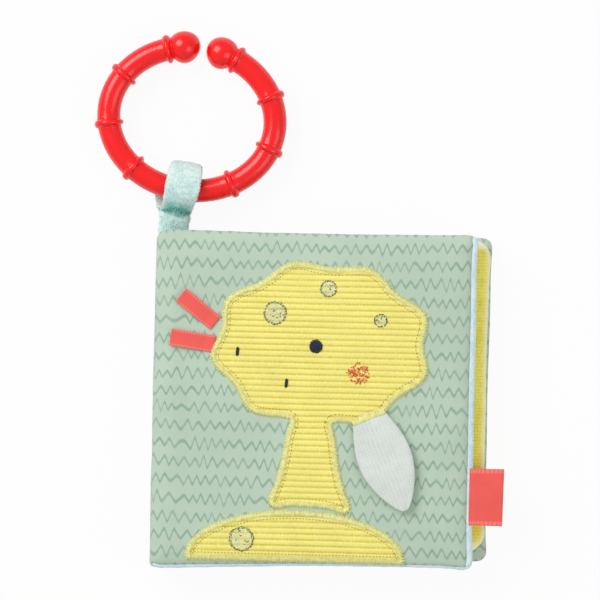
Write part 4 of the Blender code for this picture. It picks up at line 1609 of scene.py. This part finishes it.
@dataclass
class Embroidery:
    """Thread rings, a dot and short stitches sewn over the corduroy.

    Attributes:
        tree: The patch that most of them are on.
        hill: The patch that the lowest ring is on.
        hill_top: Motifs whose middle lies below this are on the lower patch.
        thread: The thread's radius.
    """

    tree: Applique
    hill: Applique
    hill_top: float = -38.0 * MM
    thread: float = 0.15 * MM

    def on_cloth(self, spot: Vector, extra: float = 0.0) -> Vector:
        """A place on the corduroy, a little above it by an extra height."""
        patch = self.hill if spot.y < self.hill_top else self.tree
        return Vector((spot.x, spot.y, patch.top(spot.x, spot.y) + self.thread * 0.6 + extra))

    def motif(self, name: str, node: str, runs: list[list[Vector]], finish: Finish) -> None:
        """Adds one embroidered motif.

        Args:
            name: The piece's name.
            node: The CAD node that it stands for, or nothing.
            runs: Its threads.
            finish: The thread's finish.
        """
        declare(link(name, thread_mesh(name, runs, self.thread), finish), node, "front_cover")

    def random_dash(self, rng: random.Random, spot: Vector, low: float, high: float) -> list[Vector]:
        """A short stitch from a place, in a random direction.

        Args:
            rng: Draws the direction and then the length.
            spot: Where it begins.
            low: Its least length in millimetres.
            high: Its greatest.

        Returns:
            The stitch.
        """
        return self.dash(spot, spot + heading(rng.uniform(0, math.pi)) * rng.uniform(low, high) * MM)

    def dash(self, start: Vector, end: Vector, lift: float = 0.16 * MM) -> list[Vector]:
        """One short stitch: down at its ends and up in its middle."""
        return [self.on_cloth(start.lerp(end, share), lift * math.sin(math.pi * share) - 0.1 * MM)
                for share in (0.0, 0.25, 0.5, 0.75, 1.0)]

    def ring(self, number: int) -> None:
        """A hand-stitched ring, two uneven rounds of short dashes over a pale scribble.

        Args:
            number: The ring's number.
        """
        node = f"embroidered_ring_{number}"
        low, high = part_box(node)
        centre, radius = (low + high) / 2, (high.x - low.x) / 2 - 0.3 * MM
        rng = random.Random(40 + number)
        dashes = []
        for turn in range(2):
            angle = rng.uniform(0, 1)
            stop = angle + 2 * math.pi
            while angle < stop:
                step = rng.uniform(0.55, 0.95) * MM / radius
                reach = radius * (1 - 0.09 * turn + rng.uniform(-0.05, 0.05))
                after = radius * (1 - 0.09 * turn + rng.uniform(-0.05, 0.05))
                start, end = heading(angle) * reach, heading(angle + step) * after
                dashes.append(self.dash(centre + start, centre + end))
                angle += step * rng.uniform(1.15, 1.75)
        fill, lines = [], round(2 * radius / (0.5 * MM))
        for line in range(1, lines):
            y = -radius + 2 * radius * line / lines
            half = math.sqrt(radius ** 2 - y ** 2) * 0.93
            way = 1 if line % 2 else -1
            for share in (-1, -0.5, 0, 0.5, 1):
                bend = Vector((half * share * way, y + rng.uniform(-0.24, 0.24) * MM, 0))
                fill.append(self.on_cloth(centre + Matrix.Rotation(0.6 * number, 3, "Z") @ bend))
        for _ in range(round(radius / (0.45 * MM))):
            spot = centre + heading(rng.uniform(0, 2 * math.pi)) * radius * rng.uniform(0.1, 0.8)
            dashes.append(self.random_dash(rng, spot, 0.6, 1.1))
        self.motif(f"{node}_thread", node, dashes, STITCH_SAGE)
        self.motif(f"{node}_scribble", "", [fill], STITCH_PALE)

    def speckle(self, number: int) -> None:
        """A disc of scattered coral stitches in the place of a ring.

        Args:
            number: The ring's number.
        """
        node = f"embroidered_ring_{number}"
        low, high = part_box(node)
        centre, radius = (low + high) / 2, (high.x - low.x) / 2
        rng = random.Random(61)
        dashes = []
        for _ in range(92):
            way = heading(rng.uniform(0, 2 * math.pi))
            spot = centre + way * radius * math.sqrt(rng.uniform(0.0, 0.92))
            dashes.append(self.random_dash(rng, spot, 0.5, 1.15))
        self.motif(f"{node}_thread", node, dashes, STITCH_CORAL)

    def dot(self) -> None:
        """A satin-stitched dot: runs side by side, higher in the middle."""
        low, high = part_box("embroidered_dot")
        centre, radius = (low + high) / 2, (high.x - low.x) / 2
        rng = random.Random(5)
        run = []
        lines = 16
        for line in range(lines):
            x = -radius + 2 * radius * (line + 0.5) / lines
            half = math.sqrt(max(radius ** 2 - x ** 2, 0.0)) + rng.uniform(-0.12, 0.16) * MM
            way = 1 if line % 2 else -1
            for share in (-1, -0.6, 0, 0.6, 1):
                dome = 0.55 * MM * (1 - share * share) * math.sqrt(1 - (x / radius) ** 2)
                run.append(self.on_cloth(centre + Vector((x, half * share * way, 0)), dome))
        self.motif("embroidered_dot_thread", "embroidered_dot", [run], STITCH_NAVY)

    def stitch(self, number: int) -> None:
        """A short stitch of four strands.

        Args:
            number: The stitch's number.
        """
        node = f"embroidered_stitch_{number}"
        low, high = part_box(node)
        middle = (low + high) / 2
        runs = []
        for offset, trim in ((-0.42, 0.8), (-0.14, 1.0), (0.14, 0.94), (0.42, 0.7)):
            reach = Vector((0.1 * MM, (high.y - low.y) / 2 * trim, 0))
            spot = middle + Vector((offset * MM, 0, 0))
            runs.append(self.dash(spot - reach, spot + reach, 0.3 * MM))
        self.motif(f"{node}_thread", node, runs, STITCH_NAVY)

    def build(self) -> None:
        """Builds every motif."""
        for number in range(1, 5):
            self.ring(number)
        self.speckle(5)
        self.dot()
        for number in (1, 2):
            self.stitch(number)
        log.info("embroidery: four rings, a speckled disc, a dot and two stitches")


@dataclass
class LeafFlap:
    """The loose muslin leaf, sewn on at its root.

    Attributes:
        root: Its sewn root, on the joint's axis.
        patch: The applique below its root.
        way: Its heading.
        length: From root to tip.
        root_half: Half its width at the root.
        swell: How much wider its belly is, on each side.
    """

    root: Vector
    patch: Applique
    way: float = math.radians(-67.0)
    length: float = 36.0 * MM
    root_half: float = 5.9 * MM
    swell: float = 4.6 * MM
    swell_share: float = 1.1
    tip_power: float = 2.6
    thickness: float = 0.75 * MM

    def half_at(self, share: float) -> float:
        """Half the leaf's width at a share of its length."""
        half = self.root_half + self.swell * math.sin(math.pi * share / self.swell_share)
        return half * math.sqrt(max(1 - share ** self.tip_power, 0.0))

    def share_at(self, x: float) -> float:
        """The share of the leaf's length at a grid point, closer together towards the tip."""
        return math.sin(math.pi / 2 * (x + 0.5))

    def point(self, share: float, across: float) -> Vector:
        """A point of the leaf's middle layer.

        Args:
            share: Along its length.
            across: -1 to 1 from side to side.

        Returns:
            The point.
        """
        along = heading(self.way)
        side = heading(self.way + math.pi / 2)
        half = self.half_at(share)
        rise = 1.3 * MM * math.sin(math.pi * share) + 1.5 * MM * share ** 2
        curl = 0.7 * MM * across * across * 4 * share * (1 - share)
        soft = 0.55 * MM * wander(Vector((share * 2.6, across * 1.3, 0)), 1.0, 3.0) * min(share * 4, 1)
        return (self.root + along * (self.length * share) + side * (half * across)
                + Vector((0, 0, rise - curl + soft)))

    def build(self) -> None:
        """Builds the leaf, turned in and flat at its rim, and the stitches over its root."""
        bm = mapped_grid(60, 36, lambda co: (self.length * self.share_at(co.x),
                                             self.half_at(self.share_at(co.x)) * co.y * 2))
        ups = {}
        for vert in bm.verts:
            share, across = self.share_at(vert.co.x), math.sin(math.pi * vert.co.y)
            inset = min((1 - abs(across)) * self.half_at(share), (1 - share) * self.length)
            ups[vert] = self.thickness / 2 * math.sqrt(min(inset / (0.7 * MM), 1.0))
            vert.co = self.point(share, across) + Vector((0, 0, ups[vert]))
        facing(bm)
        rim = [vert for vert in bm.verts if vert.is_boundary]
        twin = bmesh.ops.duplicate(bm, geom=list(bm.verts) + list(bm.edges) + list(bm.faces))
        mapped = twin["vert_map"]
        for vert, up in ups.items():
            mapped[vert].co.z -= 2 * up
        under = [item for item in twin["geom"] if isinstance(item, bmesh.types.BMFace)]
        bmesh.ops.reverse_faces(bm, faces=under)
        bmesh.ops.remove_doubles(bm, verts=rim + [mapped[vert] for vert in rim], dist=0.005 * MM)
        leaf = stand("leaf_flap_muslin", bm, GREEN_GAUZE)
        declare(leaf, "leaf_flap", "leaf_flap")
        self.tack()
        log.info("leaf flap: doubled muslin leaf, tacked at its root")

    def tack(self) -> None:
        """The close stitches over the leaf's root, like the edging beside them."""
        along = heading(self.way)
        side = heading(self.way + math.pi / 2)
        rng = random.Random(9)
        run = []
        count = round(2 * self.root_half / (0.38 * MM))
        for step in range(count + 1):
            across = self.root_half * (2 * step / count - 1)
            profile = ((-0.5, -0.1), (0.0, 0.62), (0.5, 0.5))
            for share, rise in profile if step % 2 else profile[::-1]:
                jitter = rng.uniform(-0.1, 0.1) * MM
                run.append(self.root + side * (across + jitter) + along * (share * 2.2 * MM + jitter)
                           + Vector((0, 0, rise * MM)))
        mesh = thread_mesh("leaf_flap_tacking", [run], self.patch.thread)
        declare(link(mesh.name, mesh, STITCH_YELLOW), body="front_cover")


@dataclass
class RibbonTag:
    """A satin ribbon tag caught under the applique's edge.

    Attributes:
        name: Its CAD node.
        root: Its joint's place.
        way: Its heading.
        length: How far it reaches.
        width: The ribbon's width.
        lift: How far its free end curls up.
    """

    name: str
    root: Vector
    cover: PaddedLeaf
    way: float
    length: float = 12.5 * MM
    width: float = 6.0 * MM
    lift: float = 1.6 * MM
    tuck: float = 3.4 * MM
    thickness: float = 0.35 * MM

    def build(self) -> None:
        """Builds the ribbon from under the edging to its cut end."""
        along, side = heading(self.way), heading(self.way + math.pi / 2)
        reach = self.length + self.tuck
        bm = mapped_grid(26, 12, lambda co: ((co.x + 0.5) * reach, co.y * self.width))
        selvage = bm.verts.layers.float.new("selvage")
        for vert in bm.verts:
            share, across = vert.co.x + 0.5, vert.co.y
            run = share * reach - self.tuck
            vert[selvage] = 1.0 if abs(across) > 0.4 else 0.0
            free = max(run, 0.0) / self.length
            rise = self.lift * free ** 1.6 + 0.35 * MM * math.sin(free * 5.0)
            cup = 0.35 * MM * (2 * across) ** 2 * free
            spot = self.root + along * run + side * (across * self.width)
            ground = self.cover.height(spot.x, spot.y) + 0.28 * MM
            spot.z = max(spot.z, ground) + rise + cup
            vert.co = spot
        facing(bm)
        piece = thicken(stand(f"{self.name}_satin", bm, CORAL_SATIN), self.thickness, 0.0)
        declare(piece, self.name)
        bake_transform(piece)
        log.info("%s: satin ribbon", self.name)


@dataclass
class LabelTag:
    """The bare folded satin label in the open edge.

    Attributes:
        root: Its joint's place.
        seam_x: Where it leaves the seam.
        reach_x: Its folded end.
        low_y: Its lower side.
        high_y: Its upper side.
        seam_z: The seam's height.
        thickness: The ribbon's.
        gap: Between its two layers.
        map_length: The ribbon's length on its map.
    """

    root: Vector
    seam_x: float
    reach_x: float
    low_y: float
    high_y: float
    seam_z: float
    thickness: float = 0.34 * MM
    gap: float = 0.55 * MM
    map_length: float = 26 * MM

    def path(self) -> list[Vector]:
        """The ribbon's line seen from its side, out along the top and back below."""
        fold_z = self.root.z + 0.25 * MM
        end = self.reach_x - 0.5 * MM
        places = [(self.seam_x, self.seam_z), (self.seam_x + 1.6 * MM, self.seam_z + 0.12 * MM),
                  (self.seam_x + 4.2 * MM, self.seam_z - 0.25 * MM),
                  (self.seam_x + 8.0 * MM, fold_z + 0.5 * MM), (end, fold_z + 0.3 * MM),
                  (self.reach_x, fold_z), (end, fold_z - 0.3 * MM)]
        line = [Vector((x, 0, z)) for x, z in places]
        return line + [point - Vector((0, 0, self.gap)) for point in reversed(line[:4])]

    def build(self) -> None:
        """Builds the folded ribbon."""
        line = smooth_run(self.path(), 6)
        steps = len(line) - 1
        width = self.high_y - self.low_y
        bm = mapped_grid(steps, 48, lambda co: ((co.x + 0.5) * self.map_length, co.y * width))
        selvage = bm.verts.layers.float.new("selvage")
        for vert in bm.verts:
            spot = line[round((vert.co.x + 0.5) * steps)]
            across = vert.co.y
            vert[selvage] = 1.0 if 0.43 < abs(across) < 0.49 else 0.0
            free = (spot.x - self.seam_x) / (self.reach_x - self.seam_x)
            wave = 0.3 * MM * free * math.sin(across * 5.2 + 0.6) + 0.2 * MM * free * (2 * across) ** 2
            y = (self.low_y + self.high_y) / 2 + across * width * (1 + 0.012 * free)
            vert.co = Vector((spot.x + 0.35 * MM * free * across, y, spot.z + wave))
        bmesh.ops.recalc_face_normals(bm, faces=bm.faces)
        bm.normal_update()
        top = max(bm.faces, key=lambda face: face.calc_center_median().z)
        if top.normal.z < 0:
            bmesh.ops.reverse_faces(bm, faces=bm.faces)
        piece = thicken(stand("label_tag_satin", bm, CORAL_SATIN), self.thickness, 0.0)
        declare(piece, "label_tag")
        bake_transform(piece)
        log.info("label tag: bare folded ribbon")


@dataclass
class Strap:
    """The plush strap: a stem out of the top seam and a loop round the ring.

    Attributes:
        seat: The middle of the ring's tube in the loop.
        lean: The strap's lean from straight up.
        layer: Half the thickness of one plush layer.
        loop_half: Half the strap's width round the ring.
        gather_half: Half its width where it is stitched together.
        stem_half: Half its width at the book.
        stem_shift: How far the stem lies to the right of the strap's middle.
        rib: From rib to rib of the stem's pile.
        stitch_u: Where the stitch line lies along the strap, from the seat.
        root_u: Where the strap leaves the book; not used.
        sides: Points round each cross-section.
    """

    seat: Vector
    lean: float = STRAP_LEAN
    layer: float = 0.95 * MM
    gather_half: float = 5.4 * MM
    stem_half: float = 5.3 * MM
    stem_shift: float = -0.5 * MM
    rib: float = 0.85 * MM
    stitch_u: float = -8.0 * MM
    root_u: float = -12.5 * MM
    sides: int = 28

    @property
    def along(self) -> Vector:
        """The strap's way, from the book to the ring."""
        return heading(math.pi / 2 - self.lean)

    @property
    def across(self) -> Vector:
        """The way from its left side to its right."""
        return heading(-self.lean)

    def at(self, u: float, w: float, a: float = 0.0) -> Vector:
        """A place by its distances along the strap, up and to the right, from the seat."""
        return self.seat + self.along * u + Vector((0, 0, w)) + self.across * a

    def loop_line(self) -> list[tuple[float, float, float, float]]:
        """The loop's line: along, up, sideways shift and half width, in millimetres."""
        return [(-10.2, -2.5, -0.9, 4.9), (-8.4, -2.6, -1.3, 5.3), (-6.0, -4.3, -2.4, 5.9),
                (-3.2, -5.7, -3.0, 6.3), (0.4, -6.1, -1.9, 6.3), (4.6, -5.4, -0.1, 6.0),
                (7.8, -2.9, 0.9, 5.5), (9.3, 0.4, 1.2, 5.1), (8.6, 3.9, 1.3, 5.6), (5.4, 6.3, 1.4, 6.2),
                (1.2, 7.0, 1.4, 6.3), (-2.8, 5.9, 1.1, 6.0), (-5.8, 3.3, 0.5, 5.6), (-7.8, 0.2, -0.1, 5.3),
                (-9.0, -1.2, -0.4, 5.2), (-10.2, -1.7, -0.5, 5.1)]

    def loop_sections(self) -> list[Section]:
        """Cross-sections along the loop, smooth between its listed points."""
        points = smooth_run([Vector((u, w, a)) * MM for u, w, a, _ in self.loop_line()], 5)
        halves = [half * MM for _, _, _, half in self.loop_line()]
        widths = [here + (after - here) * k / 5 for here, after in zip(halves, halves[1:]) for k in range(5)]
        widths.append(halves[-1])
        sections = []
        for index, (point, half) in enumerate(zip(points, widths)):
            run = points[min(index + 1, len(points) - 1)] - points[max(index - 1, 0)]
            tangent = (self.at(run.x, run.y) - self.seat).normalized()
            out = tangent.cross(self.across).normalized()
            sections.append(Section(self.at(*point), self.across, out, half, self.layer, 0.8))
        return sections

    def gather_at(self, place: Vector) -> tuple[float, float, float]:
        """How the pile lies at a place, and its painted shade.

        Args:
            place: Where.

        Returns:
            Its painted shade and its nearness to the stitch line, 0 to 1, and the stem's rib, -1 to 1.
        """
        u = (place - self.seat).dot(self.along)
        a = (place - self.seat).dot(self.across)
        near = math.exp(-((u - self.stitch_u) / (2.6 * MM)) ** 2)
        line = math.exp(-((u - self.stitch_u) / (0.55 * MM)) ** 2)
        above = 1.0 if u > self.stitch_u else 0.1
        middle = math.exp(-((a - 0.4 * MM) / (4.3 * MM)) ** 4)
        rib = math.cos(2 * math.pi * a / self.rib + wander(place, 4 * MM, 3.0)) if u < self.stitch_u else 0.0
        # Painted shade: darkest in the folds just above the stitch line, a dark line along the stitches, and
        # the grooves between the stem's ribs.
        shade = near * above * middle * 1.2 + line * 0.6 + 0.2 * max(0.0, -rib)
        return min(1.0, shade), near, rib

    def fluff(self, bm: bmesh.types.BMesh, gathered: bool) -> None:
        """Makes the pile uneven, gathers it at the stitch line and stores the painted shade of its folds and
        grooves.

        Args:
            bm: The skin.
            gathered: True for the loop, whose front gathers above the stitches.
        """
        shade = bm.verts.layers.float.new("gather")
        bm.normal_update()
        normals = {vert: vert.normal.copy() for vert in bm.verts}
        for vert, normal in normals.items():
            vert[shade], near, rib = self.gather_at(vert.co)
            a = (vert.co - self.seat).dot(self.across)
            pleat = math.cos(a / (1.15 * MM)) * 0.35 * MM * near if gathered else rib * 0.14 * MM
            lump = wander(vert.co, 1.5 * MM, 2.0) * 0.16 * MM + wander(vert.co, 5 * MM, 6.0) * 0.3 * MM
            vert.co += normal * (lump + pleat * 0.6)
            vert.co.z = max(vert.co.z, 0.02 * MM)

    def tufts(self, name: str, piece: bpy.types.Object, count: int, seed: int,
              finish: Finish) -> bpy.types.Object:
        """Short fibres standing out of a skin.

        Args:
            name: The fibres' name.
            piece: The skin.
            count: How many.
            seed: Picks their places.
            finish: The pile's finish.

        Returns:
            The fibres.
        """
        rng = random.Random(seed)
        faces = list(piece.data.polygons)
        weights = [face.area for face in faces]
        runs = []
        for face in rng.choices(faces, weights=weights, k=count):
            corners = [piece.data.vertices[index].co for index in face.vertices]
            share = rng.random()
            spot = corners[0].lerp(corners[1], share).lerp(corners[3].lerp(corners[2], share), rng.random())
            lay = Vector((rng.uniform(-1, 1), rng.uniform(-1, 1), rng.uniform(-0.6, 0.6))) * 0.6
            way = (face.normal + lay).normalized()
            long = rng.uniform(0.2, 0.42) * MM
            tip = spot + way * long + Vector((0, -0.2 * MM, 0))
            tip.z = max(tip.z, 0.1 * MM)
            runs.append([spot - face.normal * 0.1 * MM, tip])
        mesh = thread_mesh(name, runs, 0.05 * MM, 0)
        # The fibres carry the same painted shade, a little weaker.
        shade = mesh.attributes.new("gather", "FLOAT", "POINT")
        for vertex, value in zip(mesh.vertices, shade.data):
            value.value = self.gather_at(vertex.co)[0] * 0.8
        return link(name, mesh, finish)

    def stem_sections(self) -> list[Section]:
        """Cross-sections along the stem, from inside the seam up to the stitch line."""
        line = [(-17.4, -3.9), (-15.6, -3.85), (-14.0, -3.6), (-12.4, -3.0), (-10.8, -2.3), (-9.4, -1.8),
                (-7.9, -1.6)]
        sections = []
        for index, (u, w) in enumerate(line):
            share = index / (len(line) - 1)
            half = self.stem_half + (self.gather_half + 0.1 * MM - self.stem_half) * share ** 1.5
            before, after = line[max(index - 1, 0)], line[min(index + 1, len(line) - 1)]
            run = self.at(after[0] - before[0], after[1] - before[1]) - self.seat
            out = run.normalized().cross(self.across)
            thick = (1.05 + 0.75 * min(share * 2.5, 1.0)) * MM
            place = self.at(u * MM, w * MM, self.stem_shift)
            sections.append(Section(place, self.across, out, half, thick, 0.7))
        return sections

    def layer_of(self, node: str, sections: list[Section], finish: Finish, levels: int, fibres: int,
                 seed: int) -> None:
        """Builds one part of the strap with its pile.

        Args:
            node: The CAD node that it stands for.
            sections: Its cross-sections.
            finish: What it is made of.
            levels: How often its skin is subdivided.
            fibres: How many fibres stand out of it.
            seed: Picks their places.
        """
        skin = stand(f"{node}_plush", swept(sections, self.sides), finish)
        refined(skin, levels)
        with opened(skin) as bm:
            self.fluff(bm, node == "loop_eye")
        pile = self.tufts(f"{node}_pile", skin, fibres, seed, finish)
        for piece in (skin, pile):
            declare(piece)
            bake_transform(piece)
        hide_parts(node)

    def build(self) -> None:
        """Builds the stem, the loop and the stitches that close it."""
        # The stem takes the paler copy of the mint plush, painted light against the loop's shadow.
        self.layer_of("loop_stem", self.stem_sections(), MINT_PLUSH_PAINTED_LIGHTER, 2, 1500, 3)
        self.layer_of("loop_eye", self.loop_sections(), MINT_PLUSH, 1, 11000, 4)
        self.bartack()
        log.info("strap: stem, loop and stitch line")

    def bartack(self) -> None:
        """The close stitches across the strap."""
        rng = random.Random(12)
        run = []
        count = 30
        for step in range(count + 1):
            a = (-0.84 + 1.68 * step / count) * self.gather_half
            side = 0.32 if step % 2 else -0.32
            rise = 0.2 * MM + 0.12 * MM * math.cos(a / (1.15 * MM))
            u = self.stitch_u + side * MM + rng.uniform(-0.06, 0.06) * MM
            run.append(self.at(u, 0.75 * MM + rise, a - 0.1 * MM))
        mesh = thread_mesh("loop_bartack_thread", [run], 0.16 * MM)
        declare(link(mesh.name, mesh, STITCH_MINT), "loop_bartack", "loop_stem")


@dataclass
class ClipRing:
    """The moulded clip ring: an open oval tube with ribs and a ball at each end.

    Attributes:
        seat: The middle of its tube in the strap's loop.
        lean: Its turn in plan.
        half_width: Half the oval's width, to the tube's middle.
        half_depth: Half its depth.
        tube: The tube's radius.
        rib: A rib's radius.
        rib_half: Half a rib's width.
        neck: The tube's radius next to a ball.
        neck_reach: From the last rib to the ball's middle.
        ball: A ball's radius.
        gap: Between the balls.
        ribs: How many on each side, besides the one at the seat.
        fillet: How wide the rounding at a rib's foot is.
        fillet_rise: How high it starts.
        sides: Points round each cross-section.
        samples: Steps along one side in measuring its length.
    """

    seat: Vector
    lean: float = STRAP_LEAN
    half_width: float = 30.0 * MM
    half_depth: float = 25.6 * MM
    tube: float = 4.15 * MM
    rib: float = 5.25 * MM
    rib_half: float = 1.2 * MM
    neck: float = 3.7 * MM
    neck_reach: float = 5.7 * MM
    ball: float = 5.8 * MM
    gap: float = 2.2 * MM
    ribs: int = 4
    fillet: float = 0.7 * MM
    fillet_rise: float = 0.28 * MM
    sides: int = 40
    samples: int = 1440

    def at_angle(self, angle: float) -> Vector:
        """A point of the centreline, in the ring's own axes from the seat."""
        return Vector((self.half_width * math.sin(angle), self.half_depth * (1 - math.cos(angle)), 0))

    def ball_angle(self) -> float:
        """The oval's angle at the middle of a ball."""
        return math.pi - math.asin((self.ball + self.gap / 2) / self.half_width)

    def table(self) -> list[tuple[float, float]]:
        """Distances along one side of the ring with their angles."""
        rows, gone = [(0.0, 0.0)], 0.0
        before = self.at_angle(0.0)
        for step in range(1, self.samples + 1):
            angle = math.pi * step / self.samples
            here = self.at_angle(angle)
            gone += (here - before).length
            before = here
            rows.append((gone, angle))
        return rows

    def radius_at(self, distance: float, ball_at: float) -> float:
        """The tube's radius: plain, swelling at the ribs, round at the ball.

        Args:
            distance: From the seat.
            ball_at: The ball's middle, from the seat.

        Returns:
            The radius there.
        """
        pitch = (ball_at - self.neck_reach) / self.ribs
        from_ball = distance - ball_at
        ribbed = distance < pitch * (self.ribs + 0.5)
        off_rib = abs(distance - pitch * round(distance / pitch)) if ribbed else 1.0
        narrowing = min(max((distance - pitch * self.ribs) / self.rib_half, 0.0), 1.0)
        plain = self.tube + (self.neck - self.tube) * narrowing
        radius = plain
        if off_rib < self.rib_half:
            swell = math.sqrt(1 - (off_rib / self.rib_half) ** 2)
            radius = max(radius, plain + (self.rib - self.tube) * swell)
        past = off_rib - self.rib_half
        if 0 <= past < self.fillet:
            radius = max(radius, plain + self.fillet_rise * (1 - past / self.fillet) ** 2)
        if abs(from_ball) < self.ball:
            sphere = math.sqrt(self.ball ** 2 - from_ball ** 2)
            radius = sphere if from_ball > 0 else max(radius, sphere)
        return radius

    def stations(self) -> list[tuple[float, float]]:
        """Angles and radii from the seat to the tip of one ball."""
        rows = self.table()
        ball_at = next(gone for gone, angle in rows if angle >= self.ball_angle())
        pitch = (ball_at - self.neck_reach) / self.ribs
        marks = set()
        for rib in range(self.ribs + 1):
            for share in (0.2, 0.5, 0.75, 0.92, 1.0, 1.25, 1.55):
                marks.update((rib * pitch - share * self.rib_half, rib * pitch + share * self.rib_half))
        for rib in range(self.ribs):
            for step in range(1, 8):
                marks.add(rib * pitch + 2.0 * MM + (pitch - 4.0 * MM) * step / 8)
        first = math.asin(self.neck / self.ball)
        for step in range(15):
            angle = first + (math.pi - first) * step / 14
            marks.add(ball_at - self.ball * math.cos(angle) * 0.9995)
        made, index = [], 0
        for mark in sorted(place for place in marks if place > 0.05 * MM):
            while rows[index + 1][0] < mark:
                index += 1
            low, high = rows[index], rows[index + 1]
            share = (mark - low[0]) / (high[0] - low[0])
            made.append((low[1] + (high[1] - low[1]) * share, self.radius_at(mark, ball_at)))
        return made

    def build(self) -> None:
        """Builds the ring in one sweep."""
        half = self.stations()
        line = [(-angle, radius) for angle, radius in reversed(half)] + [(0.0, self.rib)] + half
        reach = self.at_angle(self.ball_angle()).y
        tilt = -math.asin((self.seat.z - self.ball) / reach)
        up = Vector((0, 0, 1))
        axes = Matrix((heading(-self.lean), heading(math.pi / 2 - self.lean), up)).transposed()
        placed = Matrix.Translation(self.seat) @ axes.to_4x4() @ Matrix.Rotation(tilt, 4, "X")
        turned = placed.to_3x3()
        sections = []
        for angle, radius in line:
            side = Vector((self.half_depth * math.sin(angle), -self.half_width * math.cos(angle), 0))
            place = placed @ self.at_angle(angle)
            sections.append(Section(place, turned @ side.normalized(), turned @ up, radius, radius))
        ring = stand("clip_ring_moulded", swept(sections, self.sides), RED_PLASTIC)
        declare(ring, "clip_ring", "clip_ring")
        log.info("clip ring: moulded tube with ribs and two balls")


def crinkle_film(leaf: PaddedLeaf) -> None:
    """Lays the crinkled film inside the front cover.

    Args:
        leaf: The front cover.
    """
    low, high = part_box("crinkle_film")
    size, share = high - low, 0.98
    crease, pitch = 0.25 * MM, 5 * MM
    bm = bmesh.new()
    bmesh.ops.create_grid(bm, x_segments=50, y_segments=50, size=0.5)
    for vert in bm.verts:
        x = (low.x + high.x) / 2 + vert.co.x * size.x * share
        y = (low.y + high.y) / 2 + vert.co.y * size.y * share
        vert.co = (x, y, (low.z + high.z) / 2 + wander(Vector((x, y, 0)), pitch, 8.0) * crease)
    film = thicken(stand("crinkle_film_sheet", bm, CLEAR_FILM), 0.05 * MM, 0.0)
    declare(film, "crinkle_film", leaf.body)
    log.info("crinkle film laid in the front cover")


def joint_place(name: str) -> Vector:
    """The place of a joint's axis."""
    return Vector(next(joint["pos_m"] for joint in frame["joints"] if joint["name"] == name))


def build_book() -> PaddedLeaf:
    """Builds the leaves and the spine.

    Returns:
        The front cover.
    """
    back = PaddedLeaf("back_cover", "back_cover", Cloth("back_cover_lining", CREAM_CLOTH, "cream_cloth"),
                      Cloth("back_cover_cloth", SAGE_COTTON, "sage_cotton"), "back_cover_wadding",
                      corner=4 * MM, seam=Seam(left=4, right=7, bottom=7, top=6), stand_out=1.9 * MM,
                      foot=(0.6 * MM, 4.8 * MM), seed=2.0)
    page = PaddedLeaf("middle_page", "middle_page", Cloth("page_front_cloth", YELLOW_PLUSH, "yellow_velour"),
                      Cloth("page_back_cloth", YELLOW_PLUSH, "yellow_velour"), "page_wadding",
                      corner=8 * MM, stand_out=3.9 * MM, rise=(0.8 * MM, 3.2 * MM),
                      foot=(0.8 * MM, 3.4 * MM), seed=3.0)
    front = PaddedLeaf("front_cover", "front_cover", Cloth("front_cover_cloth", SAGE_COTTON, "sage_cotton"),
                       Cloth("front_cover_lining", BLUE_PLUSH, "blue_velour", pile=0.3 * MM),
                       "front_cover_wadding", corner=3.5 * MM, seam=Seam(right=3, bottom=2),
                       stand_out=1.9 * MM, swell_up=0.9 * MM, taper=0.6 * MM, rise=(1.7 * MM, 2.0 * MM),
                       foot=(-0.3 * MM, 2.2 * MM))
    for leaf in (back, page, front):
        leaf.build()
    crinkle_film(front)
    Spine().build()
    return front


def main() -> None:
    """Builds the studio and every piece in order."""
    logging.basicConfig(level=logging.INFO, format="%(name)s: %(message)s")
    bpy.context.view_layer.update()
    Studio().build()
    front = build_book()
    shape = TreeShape()
    tree = Applique("applique_tree", shape.tree(), front, seed=1)
    hill = Applique("applique_hill", shape.hill(), front, seed=2)
    tree.build()
    hill.build()
    Embroidery(tree, hill).build()
    LeafFlap(joint_place("leaf_flap_lift"), tree).build()
    upper, lower = joint_place("ribbon_tag_upper_lift"), joint_place("ribbon_tag_lower_lift")
    RibbonTag("ribbon_tag_upper", upper, front, UPPER_RIBBON_WAY).build()
    RibbonTag("ribbon_tag_lower", lower, front, LOWER_RIBBON_WAY, lift=1.0 * MM).build()
    low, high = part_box("label_tag")
    seam_z = front.height(LABEL_SEAM_X, (low.y + high.y) / 2) + 0.1 * MM
    LabelTag(joint_place("label_tag_bend"), LABEL_SEAM_X, high.x, low.y, high.y, seam_z).build()
    seat = STRAP_SEAM + heading(math.pi / 2 - STRAP_LEAN) * STRAP_REACH_MM * MM
    Strap(seat).build()
    ClipRing(seat).build()


if __name__ == "__main__":
    main()
